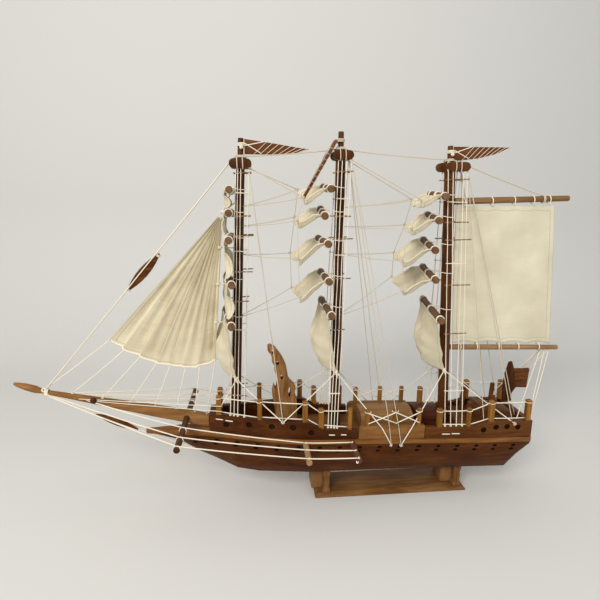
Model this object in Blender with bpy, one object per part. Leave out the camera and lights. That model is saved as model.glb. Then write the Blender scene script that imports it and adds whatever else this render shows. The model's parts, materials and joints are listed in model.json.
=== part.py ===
"""Folk-art wooden model of a three-masted sailing ship on its stand.

+X runs toward the stern, -Y is the port side, +Z is up. The stand's underside is Z = 0. The x values
below are measured from the middle of the stand, in millimetres; the finished pieces are shifted so that
the origin lies under the middle of the overall length, and turned to metres by MM.
"""

import math

import bmesh
import bpy
from mathutils import Matrix, Vector

MM = 0.001
GAP = 0.3  # clearance between pieces that touch
MIDDLE_X = -159.45  # middle of the overall length, from the middle of the stand

# Stand
BASE_LENGTH = 270.0
BASE_HALF_WIDTH = 34.0
BASE_HEIGHT = 9.0
BASE_BEVEL = 6.0
CRADLE_X = (-116.0, 118.0)
PEG_HALF_SPREAD = 26.0

# Hull and deck plank: (x, value) stations, bow first
SHEER = ((-418, 126), (-317, 125.5), (-242, 123.5), (-80, 118), (55, 114), (236, 107))
DECK_HALF = ((-418, 2), (-350, 12), (-296, 22), (-229, 40), (-175, 49.5), (-140, 52), (160, 52), (236, 49.5))
KEEL_LINE = ((-405, 116.5), (-364, 104), (-330, 82), (-267, 57), (-230, 55), (0, 54), (197, 50), (235.5, 98))
KEEL_HALF = ((-405, 1), (-330, 2.5), (-300, 8), (-267, 18), (-230, 28), (-150, 38), (197, 41), (235.5, 46))
PLANK = 8.0
HULL_X = (-405, -385, -364, -345, -330, -310, -290, -267, -230, -194, -150, -70, 40, 120, 197, 216, 235.5)

# Gunports in the lower hull: pairs of small ovals
PORT_PITCH = 33.7
PORT_COUNT = 17
PORT_LAST_X = 203.7

# Bulwarks
WALL = 9.0
FORE_TOP = ((-312, 156), (-225, 152), (-153, 151), (-127, 139), (-70, 134))
WAIST_TOP = ((-67, 140), (44, 137))
AFT_TOP = ((46, 134), (124, 131), (159, 140), (236, 137.5))
POST = 8.0
FORE_POSTS = ((-296, 188), (-229, 187), (-156, 186), (-130, 173), (-82, 172))
WAIST_POSTS = ((-52, 168), (-6, 168), (35, 167))
AFT_POSTS = ((71, 165), (122, 164), (161, 176), (228, 174.5))
FORE_SCUTTLES = ((-284, 140), (-246.5, 143), (-209.5, 142), (-175.5, 142), (-146, 133))
AFT_SCUTTLES = ((148, 125), (170, 129), (190, 129), (210, 127))
SCUTTLE_R = 4.9

# Bowsprit
SPRIT_BUTT = (-314.0, 137.5)
SPRIT_TIP = (-573.0, 197.0)
LEAF_TIP = (-618.0, 212.0)
SPRITSAIL_YARD_X = -350.0
SPRITSAIL_YARD_HALF = 110.0
SPRITSAIL_YARD_Z = 145.5

# Side booms run right across the hull
BOOM_X = (-155.0, -78.0)
BOOM_HALF = 105.0
BOOM_Z = 112.0
BOOM_R = 4.6

# Masts: foot x, head x, head z, pole top z
MASTS = {
    "fore": (-270.0, -254.0, 563.0, 592.0),
    "main": (-98.0, -100.3, 578.0, 605.0),
    "mizzen": (97.5, 76.0, 564.0, 588.0),
}
MAST_R = {"fore": (8.4, 6.8), "main": (8.2, 7.6), "mizzen": (9.0, 8.6)}  # at the foot and at the head
POLE_R = 4.6
CHEEK_LENGTH = {"fore": 34.0, "main": 33.0, "mizzen": 38.0}
CHEEK_AFT = {"fore": (0.0, 0.0), "main": (2.0, 2.0), "mizzen": (9.0, 1.0)}  # middle of each cheek, aft of the mast
CHEEK_HEIGHT = 14.0
CHEEK_THICK = 9.0
CHEEK_DROP = 8.0

# Yards, top one first: half length, height, offset forward of the mast axis, bracing and tilt in degrees
YARD_R = 5.3
YARDS = {
    "fore": ((34, 516, 15, 0, 0), (44, 482, 15, 0, 0), (54, 443, 13.8, 0, 0), (60, 378, 14.2, -6.5, 0),
             (68, 317, 14.6, -7, 0)),
    "main": ((34, 521, 21, -4.5, 4), (46, 484, 27, 3, 7), (56, 439, 26, -1, 1), (62, 382, 22.3, 1.6, 0),
             (70, 331, 18.8, 1.3, 0)),
    "mizzen": ((34, 512, 18.7, -1, 4.6), (46, 477, 25, 8, 5), (56, 433, 30.5, 10, 4.8), (64, 386, 29.5, 11, 2.3),
               (72, 324.5, 24, 9, 2.8)),
}
# Front corners of the let-out upper sails, port then starboard
FRONTS = {
    "main": (((-160, -30, 492), (-164, 30, 505)), ((-171, -42, 458), (-168, 42, 461)),
             ((-170, -52, 402), (-174, 52, 400)), ((-168, -58, 345), (-170, 58, 340))),
    "mizzen": (((22, -30, 490), (28, 30, 491)), ((5, -42, 447), (22, 42, 449)), ((-10, -52, 397), (8, 52, 401)),
               ((-10, -60, 354), (9, 60, 357))),
}
SIDE_WALL = 9.5
CLEW_Z = {"fore": 217.0, "main": 224.0, "mizzen": 221.0}
CLEW_Y = 17.0
LEECH_TURN = (9.0, -5.0, 12.0, 11.0)  # how far the edges of the fore sails are turned aft
COURSE_BELLY = {"fore": 12.0, "main": 15.0, "mizzen": 13.0}
CLOTH = 1.2

# Spanker gear
GAFF_END = (285.0, 510.0)
GAFF_START_Z = 503.0
BOOM_END = (299.0, 252.0)
BOOM_START_Z = 257.0
SPANKER = ((91.5, 497), (262, 499), (284, 259), (103, 264))

# Fan sail
FAN_HEAD = (-283.0, 483.0)
FAN_FOOT = ((-465, 283), (-440, 264), (-398, 243), (-350, 234), (-330, 233), (-300, 245))
FAN_PLEATS = 7

# Pennants
PENNANT_LENGTH = {"fore": 98.0, "main": 100.0, "mizzen": 94.0}
PENNANT_HEIGHT = 22.0
PENNANT_THICK = 4.0
# Lower and upper edges: distance from the luff and height, as parts of the length and the height
PENNANT_EDGES = {
    "fore": (((0, 0), (0.5, 0.03), (0.8, 0.14), (1.0, 0.42)), ((0.8, 0.52), (0.5, 0.72), (0, 1))),
    "main": (((0, 0), (0.5, 0.06), (0.8, 0.22), (1.0, 0.5)), ((0.8, 0.78), (0.5, 0.94), (0, 1))),
    "mizzen": (((0, 0), (0.45, 0.25), (0.75, 0.58), (1.0, 1.02)), ((0.8, 1.03), (0.5, 1.02), (0, 1))),
}

COLOURS = {
    "dark_wood": (0.10, 0.028, 0.012, 1.0),
    "hull_wood": (0.20, 0.065, 0.022, 1.0),
    "band_wood": (0.32, 0.14, 0.055, 1.0),
    "post_wood": (0.27, 0.10, 0.03, 1.0),
    "dowel_wood": (0.26, 0.15, 0.085, 1.0),
    "stand_wood": (0.16, 0.055, 0.024, 1.0),
    "muslin": (0.78, 0.70, 0.54, 1.0),
    "cord": (0.80, 0.74, 0.62, 1.0),
}


def clear_scene():
    for obj in list(bpy.data.objects):
        bpy.data.objects.remove(obj, do_unlink=True)


def material(node, kind):
    mat = bpy.data.materials.new(node)
    mat.use_nodes = True
    shader = mat.node_tree.nodes["Principled BSDF"]
    shader.inputs["Base Color"].default_value = COLOURS[kind]
    shader.inputs["Roughness"].default_value = 0.9 if kind in ("muslin", "cord") else 0.45
    mat.diffuse_color = COLOURS[kind]
    return mat


def along(table, x):
    """Straight-line reading of a (x, value) table."""
    if x <= table[0][0]:
        return table[0][1]
    for (x0, v0), (x1, v1) in zip(table, table[1:]):
        if x <= x1:
            return v0 + (v1 - v0) * (x - x0) / (x1 - x0)
    return table[-1][1]


def make(name, verts, faces, kind, smooth=False, hidden=False):
    mesh = bpy.data.meshes.new(name)
    shift = Vector((-MIDDLE_X, 0, 0))
    mesh.from_pydata([(Vector(v) + shift) * MM for v in verts], [], faces)
    bm = bmesh.new()
    bm.from_mesh(mesh)
    bmesh.ops.recalc_face_normals(bm, faces=bm.faces)
    bm.to_mesh(mesh)
    bm.free()
    mesh.update()
    obj = bpy.data.objects.new(name, mesh)
    bpy.context.scene.collection.objects.link(obj)
    if hidden:
        obj.hide_render = True
        obj.display_type = "WIRE"
        return obj
    mesh.materials.append(material(name, kind))
    for polygon in mesh.polygons:
        polygon.use_smooth = smooth
    return obj


def loft(rings):
    """Closed skin over rings of equal point count, with flat caps."""
    n = len(rings[0])
    verts = [p for ring in rings for p in ring]
    faces = []
    for i in range(len(rings) - 1):
        for j in range(n):
            k = (j + 1) % n
            faces.append((i * n + j, i * n + k, (i + 1) * n + k, (i + 1) * n + j))
    faces.append(tuple(reversed(range(n))))
    last = (len(rings) - 1) * n
    faces.append(tuple(last + j for j in range(n)))
    return verts, faces


def merged(parts):
    verts, faces = [], []
    for v, f in parts:
        start = len(verts)
        verts += list(v)
        faces += [tuple(start + i for i in face) for face in f]
    return verts, faces


def box(x0, x1, y0, y1, z0, z1):
    low = [(x0, y0, z0), (x1, y0, z0), (x1, y1, z0), (x0, y1, z0)]
    high = [(x, y, z1) for x, y, _ in low]
    return loft([low, high])


def frame_of(a, b):
    axis = (b - a).normalized()
    side = axis.orthogonal().normalized()
    return side, axis.cross(side)


def rod(a, b, profile, sides=16):
    """Round bar from a to b; profile lists (fraction along, radius)."""
    a, b = Vector(a), Vector(b)
    side, up = frame_of(a, b)
    rings = []
    for t, r in profile:
        centre = a + (b - a) * t
        ring = []
        for j in range(sides):
            turn = 2 * math.pi * j / sides
            ring.append(centre + side * (r * math.cos(turn)) + up * (r * math.sin(turn)))
        rings.append(ring)
    return loft(rings)


def dowel(a, b, r, r2=None, edge=1.0, sides=16):
    """Bar with slightly eased ends."""
    r2 = r if r2 is None else r2
    length = (Vector(b) - Vector(a)).length
    e = edge / length
    return rod(a, b, ((0, r - edge), (e, r), (1 - e, r2), (1, r2 - edge)), sides)


def boolean(obj, name, geometry, operation):
    helper = make(name, geometry[0], geometry[1], None, hidden=True)
    mod = obj.modifiers.new(name, "BOOLEAN")
    mod.operation = operation
    mod.solver = "EXACT"
    mod.object = helper
    return mod


def oval_cutter(x, y0, y1, z, half_x, half_z, sides=12):
    rings = []
    for y in (y0, y1):
        ring = []
        for j in range(sides):
            turn = 2 * math.pi * j / sides
            ring.append((x + half_x * math.cos(turn), y, z + half_z * math.sin(turn)))
        rings.append(ring)
    return loft(rings)


def sheet(name, point, columns, rows, thick):
    """Thin closed slab over the surface point(u, v), u and v from 0 to 1."""
    grid = []
    for i in range(columns + 1):
        grid.append([Vector(point(i / columns, j / rows)) for j in range(rows + 1)])
    normals = []
    for i in range(columns + 1):
        line = []
        for j in range(rows + 1):
            du = grid[min(i + 1, columns)][j] - grid[max(i - 1, 0)][j]
            dv = grid[i][min(j + 1, rows)] - grid[i][max(j - 1, 0)]
            line.append(du.cross(dv).normalized())
        normals.append(line)
    verts = []
    for sign in (1, -1):
        for i in range(columns + 1):
            for j in range(rows + 1):
                verts.append(grid[i][j] + normals[i][j] * (sign * thick / 2))
    width = rows + 1
    back = (columns + 1) * width
    faces = []
    for i in range(columns):
        for j in range(rows):
            a, b, c, d = i * width + j, (i + 1) * width + j, (i + 1) * width + j + 1, i * width + j + 1
            faces.append((a, b, c, d))
            faces.append((back + d, back + c, back + b, back + a))
    for i in range(columns):
        for j in (0, rows):
            a, b = i * width + j, (i + 1) * width + j
            faces.append((a, back + a, back + b, b))
    for j in range(rows):
        for i in (0, columns):
            a, b = i * width + j, i * width + j + 1
            faces.append((a, b, back + b, back + a))
    return make(name, verts, faces, "muslin", smooth=True)


def stand():
    half = BASE_LENGTH / 2
    rings = []
    for z, inset in ((0, 0), (2.5, 0), (BASE_HEIGHT, BASE_BEVEL)):
        x, y = half - inset, BASE_HALF_WIDTH - inset
        rings.append([(-x, -y, z), (x, -y, z), (x, y, z), (-x, y, z)])
    make("stand_base", *loft(rings), "stand_wood")
    for name, x, lean in (("fore_cradle", CRADLE_X[0], -1), ("aft_cradle", CRADLE_X[1], -1)):
        top = along(KEEL_LINE, x) - GAP
        foot = BASE_HEIGHT + GAP
        plate = box(x + lean * 24, x + lean * 2, -17, 17, foot, top - 0.4)
        cradle = make(name, *plate, "stand_wood")
        pegs = []
        for side in (-1, 1):
            y = side * PEG_HALF_SPREAD
            pegs.append(turned_peg(x, y, foot, top))
            pegs.append(box(x - 4, x + 3, min(0, y), max(0, y), foot + 0.4, foot + 9))
        mod = cradle.modifiers.new("pegs", "BOOLEAN")
        mod.operation = "UNION"
        mod.solver = "EXACT"
        mod.use_self = True
        mod.object = make(name + "_pegs", *merged(pegs), None, hidden=True)


def turned_peg(x, y, z0, z1):
    """Square peg with a waisted, notched outline."""
    height = z1 - z0
    rings = []
    for t, r in ((0, 6.6), (0.14, 6.6), (0.2, 4.8), (0.4, 5.6), (0.6, 5.0), (0.78, 6.4), (1, 6.4)):
        z = z0 + height * t
        rings.append([(x - r, y - r, z), (x + r, y - r, z), (x + r, y + r, z), (x - r, y + r, z)])
    return loft(rings)


def hull():
    rings = []
    for x in HULL_X:
        top = along(SHEER, x) - PLANK - GAP
        low = along(KEEL_LINE, x)
        wide = along(DECK_HALF, x) - 1.0
        narrow = min(along(KEEL_HALF, x), wide - 0.3)
        if x == HULL_X[-1]:
            low = top - 6
        depth = top - low
        half = [(wide, top), (wide - 0.1 * (wide - narrow), top - 0.4 * depth)]
        half.append((narrow + 0.45 * (wide - narrow), low + 0.22 * depth))
        half.append((narrow, low))
        ring = [(x, y, z) for y, z in half]
        ring += [(x, -y, z) for y, z in reversed(half)]
        rings.append(ring)
    body = make("hull", *loft(rings), "hull_wood")
    cuts = []
    for i in range(PORT_COUNT):
        x = PORT_LAST_X - i * PORT_PITCH
        z = along(SHEER, x) - PLANK - 6.4
        y = along(DECK_HALF, x) - 1.0
        for dx, dz in ((1.5, 0), (-1.5, -6.8)):
            for side in (-1, 1):
                cuts.append(oval_cutter(x + dx, side * (y - 3.2), side * (y + 6), z + dz, 4.2, 2.3))
    for x in BOOM_X:
        cuts.append(rod((x, -70, BOOM_Z), (x, 70, BOOM_Z), ((0, BOOM_R + GAP), (1, BOOM_R + GAP))))
    boolean(body, "hull_cuts", merged(cuts), "DIFFERENCE")


def deck():
    xs = (-418, -400, -375, -350, -317, -296, -262, -242, -229, -200, -175, -157, -140, -80, 55, 160, 200, 236)
    rings = []
    for x in xs:
        top = along(SHEER, x)
        y = along(DECK_HALF, x)
        rings.append([(x, -y, top - PLANK), (x, y, top - PLANK), (x, y, top), (x, -y, top)])
    plank = make("deck", *loft(rings), "band_wood")
    cuts = []
    for x in BOOM_X:
        cuts.append(rod((x, -70, BOOM_Z), (x, 70, BOOM_Z), ((0, BOOM_R + GAP), (1, BOOM_R + GAP))))
    boolean(plank, "deck_cuts", merged(cuts), "DIFFERENCE")


def wall_ring(x, outer, inner, foot, top, inner_x=None):
    """Four corners of an upright board: outer foot, outer top, inner top, inner foot."""
    xi = x if inner_x is None else inner_x
    foot_inner = foot + along(SHEER, xi) - along(SHEER, x)
    return [(x, outer, foot), (x, outer, top), (xi, inner, top), (xi, inner, foot_inner)]


def posts(table, tops, radius=POST / 2, sunk=6.0, round_every=3):
    parts = []
    for i, (x, z) in enumerate(table):
        y = along(DECK_HALF, x) - 1.0 - WALL / 2
        low = along(tops, x) - sunk
        for side in (-1, 1):
            if i % round_every == 1:
                parts.append(dowel((x, side * y, low), (x, side * y, z), radius, sides=14))
            else:
                rings = []
                for t, r in ((low, radius), (z - 1, radius), (z, radius - 1)):
                    rings.append([(x - r, side * y - r, t), (x + r, side * y - r, t),
                                  (x + r, side * y + r, t), (x - r, side * y + r, t)])
                parts.append(loft(rings))
    return parts


def scuttles(table):
    cuts = []
    for x, z in table:
        y = along(DECK_HALF, x) - 1.0
        for side in (-1, 1):
            cuts.append(oval_cutter(x, side * (y - 4.5), side * (y + 6), z, SCUTTLE_R + 0.2, SCUTTLE_R - 0.2, 16))
    return cuts


def u_wall(name, xs, tops, turn_x, turn_inner, kind):
    """Port side, across the end at turn_x, then the starboard side, as one board."""
    rings = []
    path = [(x, x) for x in xs] + [(turn_x, turn_inner)]
    for side in (-1, 1):
        for x, xi in (path if side < 0 else reversed(path)):
            outer = along(DECK_HALF, x) - 1.0
            inner = along(DECK_HALF, xi) - 1.0 - WALL
            foot = along(SHEER, x) + GAP
            rings.append(wall_ring(x, side * outer, side * inner, foot, along(tops, x), xi))
    return make(name, *loft(rings), kind)


def bulwarks():
    fore = u_wall("fore_bulwark", (-70, -80, -100, -127, -140, -153, -175, -200, -229, -242, -262, -285),
                  FORE_TOP, -312, -302, "dark_wood")
    boolean(fore, "fore_posts", merged(posts(FORE_POSTS, FORE_TOP)), "UNION")
    boolean(fore, "fore_scuttles", merged(scuttles(FORE_SCUTTLES)), "DIFFERENCE")
    aft = u_wall("aft_bulwark", (46, 55, 80, 124, 142, 160, 190), AFT_TOP, 236, 227, "dark_wood")
    boolean(aft, "aft_posts", merged(posts(AFT_POSTS, AFT_TOP)), "UNION")
    boolean(aft, "aft_scuttles", merged(scuttles(AFT_SCUTTLES)), "DIFFERENCE")
    for name, side in (("port_waist_bulwark", -1), ("starboard_waist_bulwark", 1)):
        rings = []
        for x, drop in ((-67, 9), (-66, 4), (-63, 1.2), (-58, 0), (-10, 0), (40, 0), (44.6, 0)):
            outer = along(DECK_HALF, x) - 1.0
            foot = along(SHEER, x) + GAP
            top = along(WAIST_TOP, x) - drop
            rings.append(wall_ring(x, side * outer, side * (outer - WALL), foot, top))
        wall = make(name, *loft(rings), "band_wood")
        parts = []
        for i, (x, z) in enumerate(WAIST_POSTS):
            y = side * (along(DECK_HALF, x) - 1.0 - WALL / 2)
            parts.append(dowel((x, y, along(WAIST_TOP, x) - 6), (x, y, z), POST / 2, sides=14))
        boolean(wall, name + "_posts", merged(parts), "UNION")


def domed(x0, x1, half, z0, z1, slope=0.0, crown=6.0, steps=8):
    """House block with a rounded top."""
    rings = []
    for x in (x0, x1):
        rise = slope * (x - x0)
        ring = [(x, -half, z0), (x, -half, z1 - crown + rise)]
        for i in range(1, steps):
            turn = math.pi * i / steps
            ring.append((x, -half * math.cos(turn), z1 - crown + crown * math.sin(turn) + rise))
        ring += [(x, half, z1 - crown + rise), (x, half, z0)]
        rings.append(ring)
    return loft(rings)


def deck_houses():
    """Blocks that stand on the deck plank."""
    base = along(SHEER, -55) + GAP
    make("deckhouse", *domed(-58, 34, 26, base, 152, crown=12), "band_wood", smooth=False)
    base = along(SHEER, 40) + GAP
    make("companion", *domed(40, 84, 24, base, 149, crown=8), "dark_wood")
    base = along(SHEER, 112) + GAP
    house = make("poop_deck", *box(112, 225, -39, 39, base, 129), "dark_wood")
    extra = [domed(158, 214, 26, 128, 152, slope=-0.16, crown=4)]
    for x, y, z in ((130, -26, 166), (143, 24, 172), (172, -24, 176), (200, 28, 176)):
        extra.append(dowel((x, y, 127), (x + 2, y, z), 4.2, sides=12))
    mod = boolean(house, "poop_extras", merged(extra), "UNION")
    mod.use_self = True


def ornament():
    """Carved upright that leans toward the bow: a knobbed head, a trunk with a spur, and a side branch."""
    low = along(SHEER, -203) + GAP + 0.8
    trunk_back = [(-203, 265), (-198, 258), (-192, 249.5), (-187.5, 240.5), (-184, 231.5), (-182, 220.5),
                  (-180.5, 210.5)]
    branch = [(-177, 205), (-172, 200), (-168, 194), (-169.5, 183), (-166, 172), (-165, 160), (-165, low)]
    spur = [(-200, low), (-204, 160), (-206, 168), (-208, 188), (-205.5, 198), (-202, 191)]
    trunk_front = [(-199.5, 203), (-200, 214), (-203.5, 224), (-203, 233), (-208, 241), (-207.5, 246),
                   (-204.5, 248.5)]
    head = [(-209.5, 252), (-211.5, 257), (-215, 261), (-215, 267), (-211, 269), (-207, 266.5)]
    outline = trunk_back + branch + spur + trunk_front + head
    rings = []
    for y, shrink in ((-7, 0.95), (-5, 1.0), (5, 1.0), (7, 0.95)):
        cx, cz = -187, 190
        rings.append([(cx + (x - cx) * shrink, y, max(low, cz + (z - cz) * shrink)) for x, z in outline])
    body = make("carved_ornament", *loft(rings), "post_wood")
    holes = []
    for x, z, half_x, half_z in ((-206.5, 257.5, 2.0, 3.6), (-198.5, 238, 2.6, 3.4), (-191.5, 213, 1.8, 4.2),
                                 (-178.5, 186, 2.0, 8.5)):
        holes.append(oval_cutter(x, -9, 9, z, half_x, half_z))
    boolean(body, "pierced_holes", merged(holes), "DIFFERENCE")


def bow_gear():
    (bx, bz), (tx, tz) = SPRIT_BUTT, SPRIT_TIP
    rings = []
    for t, half_w, half_h in ((0, 8.2, 10.5), (0.05, 8.5, 11), (0.35, 8, 9.5), (0.7, 5.2, 6), (0.97, 3.2, 3.4),
                              (1.0, 2.6, 2.8)):
        x, z = bx + (tx - bx) * t, bz + (tz - bz) * t
        ring = []
        for j in range(12):
            turn = 2 * math.pi * (j + 0.5) / 12
            c, s = math.cos(turn), math.sin(turn)
            y = half_w * math.copysign(abs(c) ** 0.55, c)
            ring.append((x, y, z + half_h * math.copysign(abs(s) ** 0.55, s)))
        rings.append(ring)
    (lx, lz) = LEAF_TIP
    for t, half_w, half_h in ((0.05, 4.6, 3.4), (0.3, 6.6, 6.0), (0.6, 6.4, 5.6), (0.86, 4.8, 3.7), (1.0, 2.6, 2.2)):
        x, z = tx + (lx - tx) * t, tz + (lz - tz) * t
        ring = []
        for j in range(12):
            turn = 2 * math.pi * (j + 0.5) / 12
            ring.append((x, half_w * math.cos(turn), z + half_h * math.sin(turn)))
        rings.append(ring)
    sprit = make("bowsprit", *loft(rings), "band_wood", smooth=False)
    x, z, h = SPRITSAIL_YARD_X, SPRITSAIL_YARD_Z, SPRITSAIL_YARD_HALF
    hole = rod((x, -30, z), (x, 30, z), ((0, 4.8 + GAP), (1, 4.8 + GAP)))
    keel_side = box(-420, bx + 20, -20, 20, 60, along(SHEER, -400) + GAP)
    boolean(sprit, "sprit_cuts", merged([hole]), "DIFFERENCE")
    boolean(sprit, "sprit_seat", keel_side, "DIFFERENCE")
    make("spritsail_yard", *dowel((x, -h, z), (x, h, z), 4.8), "dark_wood", smooth=True)
    for name, bx in zip(("fore_side_boom", "aft_side_boom"), BOOM_X):
        make(name, *dowel((bx, -BOOM_HALF, BOOM_Z), (bx, BOOM_HALF, BOOM_Z), BOOM_R), "dowel_wood", smooth=True)
    make("bobstay_float", *leaf((-497, 0, 155), (-430, 0, 124), 6.5, 4.5), "band_wood", smooth=True)
    make("forestay_float", *leaf((-381, 0, 419), (-433, 0, 361), 7.8, 4.0), "dark_wood", smooth=True)


def leaf(a, b, wide, thick):
    """Pointed wooden float, widest in the middle."""
    a, b = Vector(a), Vector(b)
    axis = (b - a).normalized()
    side = Vector((0, 1, 0))
    up = side.cross(axis)
    rings = []
    for t in (0.0, 0.08, 0.2, 0.35, 0.5, 0.65, 0.8, 0.92, 1.0):
        r = 0.1 + 0.9 * math.sin(math.pi * t) ** 0.8
        centre = a + (b - a) * t
        ring = []
        for j in range(12):
            turn = 2 * math.pi * j / 12
            ring.append(centre + side * (thick * r * math.cos(turn)) + up * (wide * r * math.sin(turn)))
        rings.append(ring)
    return loft(rings)


def mast_x(name, z):
    foot_x, head_x, head_z, _ = MASTS[name]
    foot_z = along(SHEER, foot_x)
    return foot_x + (head_x - foot_x) * (z - foot_z) / (head_z - foot_z)


def mast_r(name, z):
    foot_z = along(SHEER, MASTS[name][0])
    foot_r, head_r = MAST_R[name]
    return foot_r + (head_r - foot_r) * (z - foot_z) / (MASTS[name][2] - foot_z)


def masts():
    for name, (foot_x, head_x, head_z, pole_z) in MASTS.items():
        foot_z = along(SHEER, foot_x) + GAP + {"fore": 0.5, "main": 0.3, "mizzen": 0.8}[name]
        span = pole_z - foot_z
        shoulder = (head_z - foot_z) / span
        tip_x = mast_x(name, pole_z)
        foot_r, head_r = MAST_R[name]
        profile = ((0, foot_r), (shoulder, head_r), (shoulder + 0.001, POLE_R), (1, POLE_R - 0.4))
        mast = make(name + "_mast", *rod((foot_x, 0, foot_z), (tip_x, 0, pole_z), profile, 18), "dark_wood", True)
        middle = head_z - CHEEK_DROP
        cheeks = []
        for side, aft in zip((-1, 1), CHEEK_AFT[name]):
            cheeks.append(cheek(name, mast_x(name, middle) + aft, side, middle))
        boolean(mast, name + "_cheeks", merged(cheeks), "UNION")


def cheek(name, x, side, z):
    """Short fore-and-aft bar with rounded ends, let into the side of the mast."""
    y0 = side * (MAST_R[name][1] - 3.0)
    y1 = y0 + side * CHEEK_THICK
    ring0, ring1 = [], []
    r = CHEEK_HEIGHT / 2
    for centre, start in ((CHEEK_LENGTH[name] / 2 - r, -90), (-CHEEK_LENGTH[name] / 2 + r, 90)):
        for i in range(7):
            turn = math.radians(start + 30 * i)
            ring0.append((x + centre + r * math.cos(turn), y0, z + r * math.sin(turn)))
            ring1.append((x + centre + r * math.cos(turn), y1, z + r * math.sin(turn)))
    return loft([ring0, ring1])


def set_yard(name, index, point):
    """Tilts a point about the middle of its yard, then braces it round the mast axis."""
    half, z, offset, brace, tilt = YARDS[name][index]
    middle = Vector((mast_x(name, z) - offset, 0, z))
    leaned = middle + Matrix.Rotation(math.radians(tilt), 3, "X") @ (Vector(point) - middle)
    foot_x, head_x, head_z, _ = MASTS[name]
    foot = Vector((foot_x, 0, along(SHEER, foot_x)))
    axis = Vector((head_x, 0, head_z)) - foot
    return foot + Matrix.Rotation(math.radians(-brace), 3, axis) @ (leaned - foot)


def yard_ends(name, index, shorter=0.0):
    half, z, offset, _, _ = YARDS[name][index]
    x = mast_x(name, z) - offset
    return [set_yard(name, index, (x, side * (half - shorter), z)) for side in (-1, 1)]


def yards():
    for name in YARDS:
        for i in range(5):
            a, b = yard_ends(name, i)
            make(f"{name}_yard_{i + 1}", *dowel(a, b, YARD_R, edge=0.8), "dowel_wood", smooth=True)


def upper_sail(name, index):
    """Square sail let out forward to its front corners, its sides turned up like the walls of a tray."""
    back = yard_ends(name, index, 4.0)
    front = [Vector(p) for p in FRONTS[name][index]]
    start = Vector((-YARD_R - 1.5, 0, -1.5))

    def point(u, v):
        s = 2 * u - 1
        run = v * (1 - 0.1 * v * (1 - s * s))
        p = (back[0].lerp(back[1], u) + start).lerp(front[0].lerp(front[1], u), run)
        wall = max(0.0, (abs(s) - 0.82) / 0.18)
        p.z += SIDE_WALL * wall * wall * (3 - 2 * wall) * min(1.0, 0.25 + 2.5 * v)
        p.z -= 3 * math.sin(math.pi * v) * (1 - s * s)
        return p

    sheet(f"{name}_sail_{index + 1}", point, 20, 6, CLOTH)


def hung_sail(name, index):
    """Square sail hanging in front of the mast with an uneven belly."""
    half, z, offset, _, _ = YARDS[name][index]
    x = mast_x(name, z) - offset
    drop = z - YARDS[name][index + 1][1] - YARD_R - 3

    def point(u, v):
        s = 2 * u - 1
        belly = 1.6 * math.sin(math.pi * v) * (1 + 0.5 * math.sin(5.0 * s + index + 1))
        px = x - YARD_R - 0.9 - belly
        turned = max(0.0, (abs(s) - 0.7) / 0.3)
        below = max(0.0, (v - 0.3) / 0.7)
        px += LEECH_TURN[index] * turned * turned * max(0.0, math.sin(math.pi * below)) ** 0.7
        return set_yard(name, index, (px + 0.6 * v, s * (half - 6) * (1 - 0.12 * v), z - 1 - drop * v))

    sheet(f"{name}_sail_{index + 1}", point, 16, 6, CLOTH)


def course(name):
    """Lowest sail, its lower corners gathered in beside the mast."""
    half, z, offset, _, _ = YARDS[name][4]
    x = mast_x(name, z) - offset
    drop = z - CLEW_Z[name]
    front = x - YARD_R - 1.4
    clew = mast_x(name, z - drop) - 2

    def point(u, v):
        s = 2 * u - 1
        edge_y = (half - 5) * (1 - v) + CLEW_Y * v
        arch = 26 * v * (1 - s * s)
        px = front + (clew - front) * v * abs(s) ** 6 - 5 * v * (1 - s * s)
        middle = 1.0 if name != "fore" else 0.2 + 0.8 * min(1.0, (s / 0.4) ** 2)
        px -= COURSE_BELLY[name] * math.sin(math.pi * v ** 1.2) * (1 - abs(s) ** 6) * middle
        px -= 1.2 * math.sin(9 * s) * v
        return set_yard(name, 4, (px, s * edge_y, z - 1.5 - (drop * v - arch)))

    sheet(f"{name}_course", point, 24, 8, CLOTH)


def square_sails():
    for name in YARDS:
        for i in range(4):
            if name == "fore":
                hung_sail(name, i)
            else:
                upper_sail(name, i)
        course(name)


def spanker_gear():
    front = mast_x("mizzen", GAFF_START_Z) + mast_r("mizzen", GAFF_START_Z) + 0.9
    make("gaff", *dowel((front, 0, GAFF_START_Z), (GAFF_END[0], 0, GAFF_END[1]), 5.4, 4.6), "dowel_wood", True)
    front = mast_x("mizzen", BOOM_START_Z) + mast_r("mizzen", BOOM_START_Z) + 0.9
    make("boom", *dowel((front, 0, BOOM_START_Z), (BOOM_END[0], 0, BOOM_END[1]), 4.8, 4.2), "dowel_wood", True)
    (ax, az), (bx, bz), (cx, cz), (dx, dz) = SPANKER

    def point(u, v):
        top_x, top_z = ax + (bx - ax) * u, az + (bz - az) * u
        low_x, low_z = dx + (cx - dx) * u, dz + (cz - dz) * u
        low_z += 3.5 * abs(math.sin(math.pi * 4 * u))
        belly = 3.0 * math.sin(math.pi * u) * math.sin(math.pi * v)
        return (top_x + (low_x - top_x) * v, belly, top_z + (low_z - top_z) * v)

    sheet("spanker", point, 24, 8, CLOTH)


def fan_sail():
    hx, hz = FAN_HEAD
    first, last = FAN_FOOT[0][0], FAN_FOOT[-1][0]

    def point(u, v):
        fx = first + (last - first) * u
        fz = along(FAN_FOOT, fx)
        w = 0.035 + 0.965 * v
        wave = math.sin(2 * math.pi * FAN_PLEATS * u)
        return (hx + (fx - hx) * w, 6.5 * wave * w, hz + (fz - hz) * w)

    sheet("fan_sail", point, 8 * FAN_PLEATS, 6, CLOTH)


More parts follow.
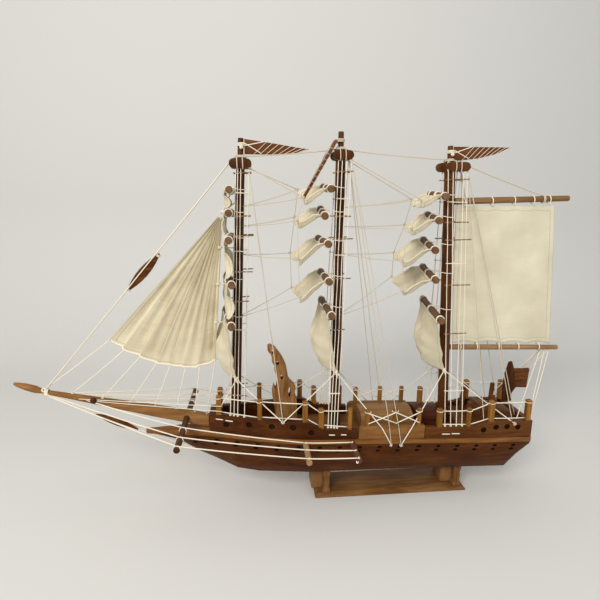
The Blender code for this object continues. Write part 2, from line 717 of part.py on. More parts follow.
def pennants():
    for name, (_, _, _, pole_z) in MASTS.items():
        h, length = PENNANT_HEIGHT, PENNANT_LENGTH[name]
        low = pole_z - h - 1
        pole_x = mast_x(name, low + 12)
        lower, upper = PENNANT_EDGES[name]
        rings = []
        for y in (-PENNANT_THICK / 2, PENNANT_THICK / 2):
            rings.append([(POLE_R + 1.0 + length * t, y, low + h * s) for t, s in lower + upper])
        verts, faces = loft(rings)
        if name == "main":
            # This one has dropped forward and lies flat, its breadth across the ship
            start = Vector((-POLE_R - 3.8, -0.5 * h - 2, pole_z - 13))
            along_it = Vector((-0.494, -0.02, -0.868)).normalized()
            across = Vector((0, 1, 0))
            face = along_it.cross(across).normalized()
            verts = [start + along_it * (v[0] - POLE_R) + across * (v[2] - low) + face * v[1] for v in verts]
        verts = [Vector(v) + Vector((pole_x, 0, 0)) for v in verts]
        make(name + "_pennant", verts, faces, "dark_wood")


def stern_gear():
    """Curved flagstaff with its wooden ensign, standing on the poop."""
    outline = [(207, 153), (205, 180), (207, 205), (212, 226), (217, 228), (222, 214), (251, 214), (249, 178),
               (229, 179), (222, 168), (223, 153)]
    rings = []
    for y in (-2.5, 2.5):
        rings.append([(x, y, z) for x, z in outline])
    make("ensign_staff", *loft(rings), "dark_wood")


clear_scene()
stand()
hull()
deck()
bulwarks()
deck_houses()
ornament()
bow_gear()
masts()
yards()
square_sails()
spanker_gear()
fan_sail()
pennants()
stern_gear()
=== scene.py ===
"""Looks for the model sailing ship: woods, sails, twine rigging, light and camera."""

import json
import math

import bmesh
import bpy
from mathutils import Matrix, Vector, noise

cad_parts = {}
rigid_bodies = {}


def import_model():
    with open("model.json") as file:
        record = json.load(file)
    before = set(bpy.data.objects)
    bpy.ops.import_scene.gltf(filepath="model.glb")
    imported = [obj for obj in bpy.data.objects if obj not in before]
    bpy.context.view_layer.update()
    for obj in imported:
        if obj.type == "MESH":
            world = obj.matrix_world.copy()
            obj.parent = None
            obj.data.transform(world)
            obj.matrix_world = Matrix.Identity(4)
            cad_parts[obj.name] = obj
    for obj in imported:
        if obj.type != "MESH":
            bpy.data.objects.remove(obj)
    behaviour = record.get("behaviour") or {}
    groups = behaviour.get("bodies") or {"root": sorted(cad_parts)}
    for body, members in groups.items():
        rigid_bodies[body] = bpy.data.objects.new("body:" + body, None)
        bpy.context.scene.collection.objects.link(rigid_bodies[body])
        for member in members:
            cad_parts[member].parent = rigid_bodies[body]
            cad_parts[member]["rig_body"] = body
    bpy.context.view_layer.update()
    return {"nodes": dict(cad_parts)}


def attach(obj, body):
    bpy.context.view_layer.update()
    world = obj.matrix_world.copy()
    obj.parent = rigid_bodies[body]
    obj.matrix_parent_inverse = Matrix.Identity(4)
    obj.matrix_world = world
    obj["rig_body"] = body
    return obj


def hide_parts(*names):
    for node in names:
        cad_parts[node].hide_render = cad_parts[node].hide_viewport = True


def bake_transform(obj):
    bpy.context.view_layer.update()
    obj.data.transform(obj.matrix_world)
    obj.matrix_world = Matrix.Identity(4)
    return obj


noise.seed_set(1)  # noise_vector is otherwise seeded from the clock
MM = 0.001
SHIFT = 159.45  # the middle of the stand, aft of the middle of the whole model, mm

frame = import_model()
NODES = frame["nodes"]
scene = bpy.context.scene


def W(x, y, z):
    """Millimetres from the middle of the stand, to metres in the row frame."""
    return Vector(((x + SHIFT) * MM, y * MM, z * MM))


# ---------------------------------------------------------------- materials
class Shader:
    """One material's nodes. An input takes a value, or the output that is linked to it."""

    def __init__(self, name):
        self.mat = bpy.data.materials.new(name)
        self.mat.use_nodes = True
        self.tree = self.mat.node_tree
        self.surface = self.tree.nodes["Principled BSDF"]

    def feed(self, node, inputs):
        for key, value in inputs.items():
            if isinstance(value, bpy.types.NodeSocket):
                self.tree.links.new(value, node.inputs[key])
            else:
                node.inputs[key].default_value = value

    def add(self, kind, out=0, inputs=None, **settings):
        node = self.tree.nodes.new("ShaderNode" + kind)
        for key, value in settings.items():
            setattr(node, key, value)
        self.feed(node, inputs or {})
        return node.outputs[out]

    def math(self, operation, *terms):
        return self.add("Math", 0, dict(enumerate(terms)), operation=operation)

    def spread(self, value, **limits):
        inputs = {key.replace("_", " "): limit for key, limit in limits.items()}
        return self.add("MapRange", 0, {"Value": value, **inputs})

    def noise(self, vector, scale, detail, **more):
        return self.add("TexNoise", "Fac", {"Vector": vector, "Scale": scale, "Detail": detail, **more})

    def bands(self, vector, direction, scale, distortion, **more):
        inputs = {"Vector": vector, "Scale": scale, "Distortion": distortion, **more}
        return self.add("TexWave", "Fac", inputs, wave_type="BANDS", bands_direction=direction)

    def stretch(self, vector, scale, **more):
        return self.add("Mapping", 0, {"Vector": vector, "Scale": scale, **more})

    def mix(self, factor, a, b):
        return self.add("Mix", "Result", {"Factor": factor, "A": a, "B": b}, data_type="RGBA")

    def bump(self, height, strength, distance, **more):
        return self.add("Bump", 0, {"Height": height, "Strength": strength, "Distance": distance, **more})

    def ramp(self, factor, *stops):
        colour = self.add("ValToRGB", 0, {"Fac": factor})
        elements = colour.node.color_ramp.elements
        for i, (position, rgb) in enumerate((stops[0], stops[-1])):
            elements[i].position = position
            elements[i].color = (*rgb, 1)
        for position, rgb in stops[1:-1]:
            elements.new(position).color = (*rgb, 1)
        return colour


def scaled(rgb, factor, plus=0.0):
    return tuple(min(1, factor * c + plus) for c in rgb)


FIBRES = {"X": (1.0, 9.0, 9.0), "Y": (9.0, 1.0, 9.0), "Z": (9.0, 9.0, 1.0)}  # finer across the grain
WEAR = 0.3


def wood(name, dark, mid, light, axis="X", grain=1.0, rough=0.42, coat=0.03, offset=0.0, tooled=0.0):
    """Varnished wood with long fibres along axis, blotches, paler worn edges and chisel marks if tooled."""
    s = Shader(name)
    place = s.add("TexCoord", "Object")
    fine = FIBRES[axis]
    moved = s.stretch(place, [v * 9 * grain for v in fine], Location=(offset, offset * 1.7, offset * 0.6))
    rings = s.noise(moved, 1.6, 6, Roughness=0.62, Distortion=0.6)
    fibre = s.noise(s.stretch(place, [v * (18 if v > 2 else 10) * grain for v in fine]), 6.0, 4)
    figure = s.math("MULTIPLY_ADD", fibre, 0.34, rings)
    blotched = s.math("MULTIPLY_ADD", s.noise(place, 14, 2), 0.4, figure)
    tone = s.spread(blotched, From_Min=0.5, From_Max=1.25)
    colour = s.ramp(tone, (0.12, dark), (0.5, mid), (0.88, light))
    worn = s.spread(s.add("NewGeometry", "Pointiness"), From_Min=0.54, From_Max=0.66, To_Max=WEAR)
    carved = {}
    if tooled:
        facets = s.add("TexVoronoi", "Distance", {"Vector": place, "Scale": 130}, feature="SMOOTH_F1")
        carved["Normal"] = s.bump(facets, tooled, 0.002)
    s.feed(s.surface, {
        "Base Color": s.mix(worn, colour, (*scaled(light, 1.5, 0.02), 1)),
        "Roughness": s.spread(fibre, To_Min=rough - 0.1, To_Max=rough + 0.18),
        "Coat Weight": coat,
        "Coat Roughness": 0.3,
        "Specular IOR Level": 0.15,
        "Specular Tint": (1.0, 0.62, 0.36, 1),
        "Normal": s.bump(figure, 0.25, 0.0006, **carved),
    })
    return s.mat


def muslin(name, base, dark, seam=0.0042):
    """Cotton cloth: crossed threads, slubs, soft staining and a little light through it."""
    s = Shader(name)
    uv = s.add("UVMap", uv_map="UVMap")
    weave = s.math("ADD", *[s.bands(uv, direction, 620, 0.8, Detail=1) for direction in "XY"])
    slub = s.noise(s.stretch(uv, (26, 520, 1)), 1.0, 3)
    stained = s.math("MULTIPLY_ADD", slub, 0.22, s.noise(uv, 16, 3))
    tone = s.spread(stained, From_Min=0.38, From_Max=0.85)
    colour = s.ramp(tone, (0.0, dark), (0.55, base), (1.0, scaled(base, 1.1)))
    # Line of stitches inside the hem: a real seam, drawn darker as painted shade. "hem" holds the distance to
    # the nearest edge, in metres
    gap = s.math("SUBTRACT", s.add("Attribute", "Fac", attribute_name="hem"), seam)
    line = s.spread(s.math("ABSOLUTE", gap), From_Min=0.00055, From_Max=0.0002)
    u = s.add("SeparateXYZ", "X", {0: uv})
    dashes = s.math("MULTIPLY", s.math("ADD", u, u.node.outputs["Y"]), 330)
    stitch = s.math("MULTIPLY", line, s.math("GREATER_THAN", s.math("FRACT", dashes), 0.35))
    # "shade" is 1 at the bottom of a pleat, where painted shade darkens the cloth
    shade = s.add("Attribute", "Fac", attribute_name="shade")
    pleat_shaded = s.mix(shade, colour, (*scaled(dark, 0.6), 1))
    sewn = s.mix(stitch, pleat_shaded, (*scaled(dark, 0.55), 1))
    s.feed(s.surface, {
        "Base Color": sewn,
        "Roughness": 0.92,
        "Sheen Weight": 0.15,
        "Specular IOR Level": 0.15,
        "Normal": s.bump(s.math("MULTIPLY_ADD", slub, 0.8, weave), 0.35, 0.00025),
    })
    glow = s.add("BsdfTranslucent", 0, {"Color": sewn})
    both = s.add("MixShader", 0, {0: 0.14, 1: s.surface.outputs[0], 2: glow})
    s.feed(s.tree.nodes["Material Output"], {"Surface": both})
    return s.mat


def twine(name, base, dark, pitch=260.0):
    """Laid cotton twine: slanting strands round the cord, from its UV map in metres."""
    s = Shader(name)
    strands = s.bands(s.add("UVMap", uv_map="UVMap"), "DIAGONAL", pitch, 0.6)
    fuzzy = s.math("MULTIPLY_ADD", s.noise(s.add("TexCoord", "Object"), 900, 2), 0.5, strands)
    s.feed(s.surface, {
        "Base Color": s.ramp(fuzzy, (0.15, dark), (0.75, base), (1.0, scaled(base, 1.06))),
        "Roughness": 0.9,
        "Specular IOR Level": 0.2,
        "Sheen Weight": 0.2,
        "Normal": s.bump(fuzzy, 0.6, 0.0003),
    })
    return s.mat


# Each wood's dark, middle and light colour
FORE = ((0.024, 0.0058, 0.0012), (0.050, 0.0125, 0.0022), (0.092, 0.028, 0.006))
AFT = ((0.036, 0.010, 0.002), (0.086, 0.027, 0.005), (0.15, 0.055, 0.013))
COMPANION = ((0.018, 0.004, 0.0015), (0.042, 0.010, 0.004), (0.085, 0.024, 0.009))
MAST = ((0.018, 0.0048, 0.0014), (0.044, 0.0125, 0.0034), (0.092, 0.032, 0.010))
MIZZEN = ((0.038, 0.0105, 0.0026), (0.080, 0.025, 0.006), (0.145, 0.052, 0.014))
HULL = ((0.026, 0.0060, 0.0010), (0.060, 0.0158, 0.0023), (0.118, 0.037, 0.0065))
BAND = ((0.085, 0.03, 0.007), (0.165, 0.068, 0.017), (0.26, 0.125, 0.038))
PLANKING = ((0.095, 0.034, 0.008), (0.19, 0.078, 0.020), (0.29, 0.14, 0.045))
HOUSE = ((0.12, 0.054, 0.017), (0.205, 0.104, 0.036), (0.31, 0.175, 0.07))
SPRIT = ((0.10, 0.040, 0.011), (0.195, 0.088, 0.026), (0.31, 0.16, 0.058))
POST = ((0.085, 0.030, 0.004), (0.185, 0.076, 0.013), (0.30, 0.14, 0.032))
DOWEL = ((0.060, 0.027, 0.010), (0.122, 0.060, 0.025), (0.20, 0.108, 0.052))
ROD = ((0.16, 0.085, 0.032), (0.27, 0.155, 0.065), (0.40, 0.25, 0.12))
RED = ((0.045, 0.013, 0.006), (0.10, 0.032, 0.015), (0.19, 0.074, 0.038))
GAFF = ((0.075, 0.035, 0.011), (0.155, 0.078, 0.028), (0.26, 0.145, 0.06))
BOOM = ((0.11, 0.054, 0.020), (0.21, 0.115, 0.048), (0.33, 0.20, 0.09))
STAND = ((0.062, 0.024, 0.006), (0.135, 0.058, 0.016), (0.22, 0.108, 0.038))
ORN = ((0.07, 0.026, 0.006), (0.20, 0.09, 0.026), (0.36, 0.20, 0.08))
PENNANT = ((0.045, 0.013, 0.004), (0.105, 0.034, 0.009), (0.18, 0.066, 0.02))
# Painted shade: the next two colours darken the insides of the gunports, and of the scuttles and carved holes
RECESS_SHADE = ((0.004, 0.0015, 0.0008), (0.009, 0.003, 0.0013), (0.02, 0.007, 0.003))
SHADOW = ((0.008, 0.0022, 0.0007), (0.02, 0.0055, 0.0015), (0.04, 0.012, 0.0035))

M = {
    "fore_x": wood("fore_wood", *FORE),
    "aft_x": wood("aft_wood", *AFT, offset=2.2),
    "dark_y": wood("dark_wood_y", *MAST, axis="Y", offset=3.1),
    "dark_z": wood("mast_wood", *MAST, axis="Z", offset=1.3),
    "mizzen": wood("mizzen_wood", *MIZZEN, axis="Z", offset=1.9),
    "pennant": wood("pennant_wood", *PENNANT, offset=7.3, rough=0.5),
    "pennant_z": wood("pennant_wood_z", *PENNANT, axis="Z", offset=7.9, rough=0.5),
    "companion": wood("companion_wood", *COMPANION, offset=2.9),
    "hull": wood("hull_wood", *HULL, grain=0.8, coat=0.06),
    "ensign": wood("ensign_wood", *AFT, grain=1.4, offset=5.6),
    "band": wood("band_wood", *BAND, grain=0.9),
    "plank": wood("plank_wood", *PLANKING, grain=0.9, offset=1.1),
    # The next two woods are painted shade inside the gunports, scuttles and carved holes
    "recess": wood("recess_shade_wood", *RECESS_SHADE, rough=0.8),
    "shadow": wood("scuttle_shadow_wood", *SHADOW, rough=0.7),
    "house": wood("house_wood", *HOUSE, grain=0.8, offset=3.7),
    "sprit": wood("bowsprit_wood", *SPRIT, offset=2.0),
    "post": wood("post_wood", *POST, axis="Z", offset=0.7),
    "dowel": wood("dowel_wood", *DOWEL, axis="Y", coat=0.0, rough=0.6),
    "rod": wood("side_boom_wood", *ROD, axis="Y", coat=0.0, rough=0.6),
    "red_y": wood("red_wood_y", *RED, axis="Y", offset=1.4),
    "gaff": wood("gaff_wood", *GAFF, offset=4.2),
    "boom": wood("boom_wood", *BOOM, offset=4.9),
    "stand": wood("stand_wood", *STAND, offset=5.0),
    "stand_z": wood("stand_wood_z", *STAND, axis="Z", offset=6.0),
    "orn": wood("ornament_wood", *ORN, axis="Z", offset=8.0, rough=0.34, coat=0.08, tooled=0.5),
    "cloth": muslin("muslin", (0.77, 0.69, 0.50), (0.62, 0.52, 0.33)),
    "cloth_light": muslin("muslin_spanker", (0.70, 0.64, 0.475), (0.62, 0.55, 0.39), 0.0075),
    "twine": twine("twine", (0.82, 0.75, 0.61), (0.50, 0.41, 0.28)),
    "twine_thick": twine("twine_rolled", (0.84, 0.77, 0.60), (0.62, 0.53, 0.38), 130.0),
    "twine_dim": twine("twine_aged", (0.58, 0.50, 0.38), (0.33, 0.27, 0.19)),
}


# ---------------------------------------------------------------- mesh helpers
def link(name, mesh, mat):
    obj = bpy.data.objects.new(name, mesh)
    scene.collection.objects.link(obj)
    if mat is not None:
        mesh.materials.clear()
        mesh.materials.append(mat)
    return obj


def from_bm(name, bm, mat, sharp=38.0):
    limit = math.radians(sharp)
    for face in bm.faces:
        face.smooth = True
    for edge in bm.edges:
        edge.smooth = not (len(edge.link_faces) == 2 and edge.calc_face_angle(0) > limit)
    mesh = bpy.data.meshes.new(name)
    bm.to_mesh(mesh)
    bm.free()
    return link(name, mesh, mat)


EASE_ANGLE = 30.0


def eased(node, mat, width):
    """A finished copy of a CAD node, with its edges eased by width in mm."""
    bm = bmesh.new()
    bm.from_mesh(NODES[node].data)
    bmesh.ops.remove_doubles(bm, verts=bm.verts, dist=2e-6)
    bmesh.ops.dissolve_limit(bm, angle_limit=math.radians(1.0), verts=bm.verts, edges=bm.edges)
    limit = math.radians(EASE_ANGLE)
    edges = [e for e in bm.edges if len(e.link_faces) == 2 and e.calc_face_angle(0) > limit]
    if width > 0 and edges:
        bmesh.ops.bevel(bm, geom=edges, offset=width * MM, offset_type="OFFSET", segments=2, profile=0.5,
                        affect="EDGES", clamp_overlap=True)
    bmesh.ops.triangulate(bm, faces=[f for f in bm.faces if len(f.verts) > 4])
    obj = from_bm(node + "_wood", bm, mat, sharp=34)
    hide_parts(node)
    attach(obj, NODES[node]["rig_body"])
    return obj


def tube_into(bm, uv, points, radius, sides=7):
    """Adds one round cord through points (Vectors in metres) to bm."""
    pts = [Vector(p) for p in points]
    n = len(pts)
    tangents = []
    for i in range(n):
        t = pts[min(i + 1, n - 1)] - pts[max(i - 1, 0)]
        tangents.append(t.normalized())
    side = tangents[0].orthogonal().normalized()
    rings = []
    run = 0.0
    for i in range(n):
        if i:
            run += (pts[i] - pts[i - 1]).length
            side = (side - tangents[i] * side.dot(tangents[i])).normalized()
        up = tangents[i].cross(side)
        ring = []
        for j in range(sides):
            turn = 2 * math.pi * j / sides
            offset = side * (radius * math.cos(turn)) + up * (radius * math.sin(turn))
            ring.append(bm.verts.new(pts[i] + offset))
        rings.append((ring, run))
    around = 2 * math.pi * radius
    for (a, ra), (b, rb) in zip(rings, rings[1:]):
        for j in range(sides):
            k = (j + 1) % sides
            face = bm.faces.new((a[j], a[k], b[k], b[j]))
            us = (j / sides * around, (j + 1) / sides * around)
            for loop, value in zip(face.loops, ((us[0], ra), (us[1], ra), (us[1], rb), (us[0], rb))):
                loop[uv].uv = value
    bm.faces.new(list(reversed(rings[0][0])))
    bm.faces.new(rings[-1][0])


def knot_into(bm, uv, centre, r, seed=0):
    """Small lumpy ball of twine: three crossed loops."""
    for k in range(3):
        axis = Vector((math.sin(k + seed), math.cos(2 * k), 0.6)).normalized()
        rot = Matrix.Rotation(0.7 + 1.1 * k + seed, 3, axis)
        pts = []
        for i in range(13):
            t = 2 * math.pi * i / 12
            pts.append(centre + rot @ Vector((r * math.cos(t), r * math.sin(t), 0.25 * r * math.sin(2 * t))))
        tube_into(bm, uv, pts, r * 0.42, 6)


class Cords:
    """A set of cords made as one object."""

    def __init__(self, name, mat):
        self.name, self.mat = name, mat
        self.bm = bmesh.new()
        self.uv = self.bm.loops.layers.uv.new("UVMap")

    def line(self, a, b, r=0.85, sag=0.0, n=None, wander=0.25):
        """A cord from a to b (mm tuples), hanging by sag mm in the middle."""
        a, b = Vector(a), Vector(b)
        length = (b - a).length
        n = n or max(4, int(length / 9))
        pts = []
        for i in range(n + 1):
            t = i / n
            p = a + (b - a) * t
            p.z -= 4 * sag * t * (1 - t)
            place = p * 0.02 + Vector((a.x, b.z, 0)) * 0.01
            p += noise.noise_vector(place) * (wander * math.sin(math.pi * t))
            pts.append(W(*p))
        tube_into(self.bm, self.uv, pts, r * MM)
        return self

    def path(self, points, r=0.85, smooth=2):
        pts = [Vector(p) for p in points]
        for _ in range(smooth):
            fresh = [pts[0]]
            for p, q in zip(pts, pts[1:]):
                fresh += [p.lerp(q, 0.25), p.lerp(q, 0.75)]
            fresh.append(pts[-1])
            pts = fresh
        tube_into(self.bm, self.uv, [W(*p) for p in pts], r * MM)
        return self

    def ring(self, centre, axis, radius, r=0.8, turns=1.0, pitch=1.9, sides=7):
        """Turns of cord round a bar: centre and axis in mm."""
        axis = Vector(axis).normalized()
        side = axis.orthogonal().normalized()
        up = axis.cross(side)
        steps = int(16 * turns)
        pts = []
        for i in range(steps + 1):
            t = 2 * math.pi * turns * i / steps
            along = (i / steps - 0.5) * pitch * turns
            p = Vector(centre) + side * (radius * math.cos(t)) + up * (radius * math.sin(t)) + axis * along
            pts.append(W(*p))
        tube_into(self.bm, self.uv, pts, r * MM, sides)
        return self

    def knot(self, centre, r=1.8, seed=0):
        knot_into(self.bm, self.uv, W(*centre), r * MM, seed)
        return self

    def done(self, body=None, blend=None):
        obj = from_bm(self.name, self.bm, self.mat, sharp=80)
        if blend:
            a, b, start, end = blend
            tuple(W(*start))
            tuple(W(*end))
            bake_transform(obj)
        else:
            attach(obj, body)
        return obj


# ---------------------------------------------------------------- ship numbers (mm)
SHEER = ((-418, 126), (-317, 125.5), (-242, 123.5), (-80, 118), (55, 114), (236, 107))
DECK_HALF = ((-418, 2), (-350, 12), (-296, 22), (-229, 40), (-175, 49.5), (-140, 52), (160, 52), (236, 49.5))
FORE_TOP = ((-312, 156), (-225, 152), (-153, 151), (-127, 139), (-70, 134))
WAIST_TOP = ((-67, 140), (44, 137))
AFT_TOP = ((46, 134), (124, 131), (159, 140), (236, 137.5))
FORE_POSTS = ((-296, 188), (-229, 187), (-156, 186), (-130, 173), (-82, 172))
WAIST_POSTS = ((-52, 168), (-6, 168), (35, 167))
FORE_SCUTTLES = ((-284, 140), (-246.5, 143), (-209.5, 142), (-175.5, 142), (-146, 133))
AFT_SCUTTLES = ((148, 125), (170, 129), (190, 129), (210, 127))
SCUTTLE_HALF = (5.1, 4.7)
# Gunports: pairs, place of the aftmost pair, spacing, and half size of each port
PORT_PAIRS = 17
PORT_LAST_X = 203.7
PORT_STEP = 33.7
PORT_HALF = (4.2, 2.3)
# Holes of the carved upright, and the corner from which the ensign board is painted
ORNAMENT_HOLES = ((-206.5, 257.5, 2.0, 3.6), (-198.5, 238, 2.6, 3.4), (-191.5, 213, 1.8, 4.2),
                  (-178.5, 186, 2.0, 8.5))
ENSIGN_CORNER = (223, 177)
EASE_ROOM = 1.02  # the eased rim of a hole is a little larger than the hole
AFT_POSTS = ((71, 165), (122, 164), (161, 176), (228, 174.5))
# Masts: foot x, head x, head z, pole top z
MASTS = {
    "fore": (-270.0, -254.0, 563.0, 592.0),
    "main": (-98.0, -100.3, 578.0, 605.0),
    "mizzen": (97.5, 76.0, 564.0, 588.0),
}
MAST_R = {"fore": (8.4, 6.8), "main": (8.2, 7.6), "mizzen": (9.0, 8.6)}  # at the foot and at the head
POLE_R = 4.6
CHEEK_LENGTH = {"fore": 34.0, "main": 33.0, "mizzen": 38.0}
# Middle of each cheek, aft of the mast
CHEEK_AFT = {"fore": (0.0, 0.0), "main": (2.0, 2.0), "mizzen": (9.0, 1.0)}
CHEEK_HEIGHT = 14.0
CHEEK_THICK = 9.0
CHEEK_DROP = 8.0

# Yards, top one first: half length, height, offset forward of the mast axis, bracing and tilt in degrees
YARD_R = 5.3
YARDS = {
    "fore": ((34, 516, 15, 0, 0), (44, 482, 15, 0, 0), (54, 443, 13.8, 0, 0), (60, 378, 14.2, -6.5, 0),
             (68, 317, 14.6, -7, 0)),
    "main": ((34, 521, 21, -4.5, 4), (46, 484, 27, 3, 7), (56, 439, 26, -1, 1), (62, 382, 22.3, 1.6, 0),
             (70, 331, 18.8, 1.3, 0)),
    "mizzen": ((34, 512, 18.7, -1, 4.6), (46, 477, 25, 8, 5), (56, 433, 30.5, 10, 4.8),
               (64, 386, 29.5, 11, 2.3), (72, 324.5, 24, 9, 2.8)),
}
# Front corners of the let-out upper sails, port then starboard
FRONTS = {
    "main": (((-160, -30, 492), (-164, 30, 505)), ((-171, -42, 458), (-168, 42, 461)),
             ((-170, -52, 402), (-174, 52, 400)), ((-168, -58, 345), (-170, 58, 340))),
    "mizzen": (((22, -30, 490), (28, 30, 491)), ((5, -42, 447), (22, 42, 449)),
               ((-10, -52, 397), (8, 52, 401)), ((-10, -60, 354), (9, 60, 357))),
}
SIDE_WALL = 9.5
CLEW_Z = {"fore": 217.0, "main": 224.0, "mizzen": 221.0}
CLEW_Y = 17.0
LEECH_TURN = (9.0, -5.0, 12.0, 11.0)  # how far the edges of the fore sails are turned aft
COURSE_BELLY = {"fore": 12.0, "main": 15.0, "mizzen": 13.0}
# Spanker corners: head forward, head aft, foot aft, foot forward. Gaff and boom by their ends
SPANKER = ((91.5, 497), (262, 499), (284, 259), (103, 264))
GAFF_LINE = ((88, 503), (285, 510))
BOOM_LINE = ((101, 257), (299, 252))
FAN_HEAD = (-283.0, 483.0)
FAN_FOOT = ((-465, 283), (-440, 264), (-398, 243), (-350, 234), (-330, 233), (-300, 245))
FAN_PLEATS = 7
SPRIT_ROOT = (-314, 137.5)
SPRIT_TIP = (-573, 197)
FORE_BOOM = (-350, 145.5)
AFT_BOOM = (-155, 112)
PENNANT_LENGTH = {"fore": 98.0, "main": 100.0, "mizzen": 94.0}
PENNANT_HEIGHT = 22.0
PENNANT_THICK = 4.0
# Lower and upper edges: distance from the luff and height, as parts of the length and the height
PENNANT_EDGES = {
    "fore": (((0, 0), (0.5, 0.03), (0.8, 0.14), (1.0, 0.42)), ((0.8, 0.52), (0.5, 0.72), (0, 1))),
    "main": (((0, 0), (0.5, 0.06), (0.8, 0.22), (1.0, 0.5)), ((0.8, 0.78), (0.5, 0.94), (0, 1))),
    "mizzen": (((0, 0), (0.45, 0.25), (0.75, 0.58), (1.0, 1.02)), ((0.8, 1.03), (0.5, 1.02), (0, 1))),
}


def along(table, x):
    if x <= table[0][0]:
        return table[0][1]
    for (x0, v0), (x1, v1) in zip(table, table[1:]):
        if x <= x1:
            return v0 + (v1 - v0) * (x - x0) / (x1 - x0)
    return table[-1][1]


def mast_x(name, z):
    foot_x, head_x, head_z, _ = MASTS[name]
    foot_z = along(SHEER, foot_x)
    return foot_x + (head_x - foot_x) * (z - foot_z) / (head_z - foot_z)


def mast_r(name, z):
    foot_z = along(SHEER, MASTS[name][0])
    foot_r, head_r = MAST_R[name]
    return foot_r + (head_r - foot_r) * (z - foot_z) / (MASTS[name][2] - foot_z)


def set_yard(name, index, point):
    """Tilts a point about the middle of its yard, then braces it round the mast axis."""
    _, z, offset, brace, tilt = YARDS[name][index]
    middle = Vector((mast_x(name, z) - offset, 0, z))
    leaned = middle + Matrix.Rotation(math.radians(tilt), 3, "X") @ (Vector(point) - middle)
    foot_x, head_x, head_z, _ = MASTS[name]
    foot = Vector((foot_x, 0, along(SHEER, foot_x)))
    axis = Vector((head_x, 0, head_z)) - foot
    return foot + Matrix.Rotation(math.radians(-brace), 3, axis) @ (leaned - foot)


def yard_ends(name, index, shorter=0.0):
    half, z, offset, _, _ = YARDS[name][index]
    x = mast_x(name, z) - offset
    return [set_yard(name, index, (x, side * (half - shorter), z)) for side in (-1, 1)]


def rail_y(x):
    return along(DECK_HALF, x) - 5.5


def sprit_z(x):
    (x0, z0), (x1, z1) = SPRIT_ROOT, SPRIT_TIP
    return z0 + (x - x0) / (x1 - x0) * (z1 - z0)


# ---------------------------------------------------------------- wooden pieces
# CAD node, material and width of its eased edges in mm
HULL_WOOD = (
    ("stand_base", "stand", 1.0), ("fore_cradle", "stand_z", 0.8), ("aft_cradle", "stand_z", 0.8),
    ("hull", "hull", 0.35), ("deck", "plank", 0.7), ("fore_bulwark", "fore_x", 0.7),
    ("aft_bulwark", "aft_x", 0.7), ("port_waist_bulwark", "band", 0.7),
    ("starboard_waist_bulwark", "band", 0.7), ("deckhouse", "house", 1.5), ("companion", "companion", 1.5),
    ("poop_deck", "aft_x", 0.8), ("carved_ornament", "orn", 1.3), ("bowsprit", "sprit", 0.0),
    ("ensign_staff", "dark_z", 0.7), ("spritsail_yard", "dark_y", 0.0), ("fore_side_boom", "rod", 0.0),
    ("aft_side_boom", "red_y", 0.0), ("bobstay_float", "aft_x", 0.0), ("forestay_float", "aft_x", 0.0),
)


def woodwork():
    made = {node: eased(node, M[mat], width) for node, mat, width in HULL_WOOD}
    for m in MASTS:
        eased(m + "_mast", M["mizzen" if m == "mizzen" else "dark_z"], 0.8)
        eased(m + "_pennant", M["pennant_z" if m == "main" else "pennant"], 0.5)
        for i in range(5):
            eased(f"{m}_yard_{i + 1}", M["dowel"], 0.0)
    eased("gaff", M["gaff"], 0.0)
    eased("boom", M["boom"], 0.0)
    # Faces that stand above the rail are the posts, of a lighter wood
    for node, tops in (("fore_bulwark", FORE_TOP), ("aft_bulwark", AFT_TOP),
                       ("port_waist_bulwark", WAIST_TOP), ("starboard_waist_bulwark", WAIST_TOP)):
        paint(made[node], "post", lambda x, z: z > along(tops, x) + 1.2)
    # The insides of the recesses are given rough, dark wood: painted shade inside the gunports, scuttles and
    # carved holes
    paint(made["hull"], "recess", in_ovals(port_ovals(), 1.04))
    paint(made["fore_bulwark"], "shadow", in_ovals([(*at, *SCUTTLE_HALF) for at in FORE_SCUTTLES], EASE_ROOM))
    paint(made["aft_bulwark"], "shadow", in_ovals([(*at, *SCUTTLE_HALF) for at in AFT_SCUTTLES], EASE_ROOM))
    paint(made["carved_ornament"], "shadow", in_ovals(ORNAMENT_HOLES, EASE_ROOM))
    paint(made["ensign_staff"], "ensign", lambda x, z: x > ENSIGN_CORNER[0] and z > ENSIGN_CORNER[1])


def port_ovals():
    """Middles and half sizes of the seventeen pairs of gunports."""
    ovals = []
    for i in range(PORT_PAIRS):
        x = PORT_LAST_X - PORT_STEP * i
        z = along(SHEER, x) - 14.4
        ovals += [(x + 1.5, z, *PORT_HALF), (x - 1.5, z - 6.8, *PORT_HALF)]
    return ovals


def in_ovals(ovals, ease):
    """A test of x and z: true inside one of the ovals, made larger by the factor ease."""
    def inside(x, z):
        return any(((x - ox) / rx) ** 2 + ((z - oz) / rz) ** 2 < ease * ease for ox, oz, rx, rz in ovals)
    return inside


def paint(obj, mat, inside):
    """Gives the faces whose middle passes the test another material."""
    obj.data.materials.append(M[mat])
    slot = len(obj.data.materials) - 1
    for polygon in obj.data.polygons:
        c = polygon.center
        if inside(c.x / MM - SHIFT, c.z / MM):
            polygon.material_index = slot


# ---------------------------------------------------------------- sails
HEM_WIDTH = 0.0034
HEM_LAYERS = 2.3
CLOTH_THICK = 0.65


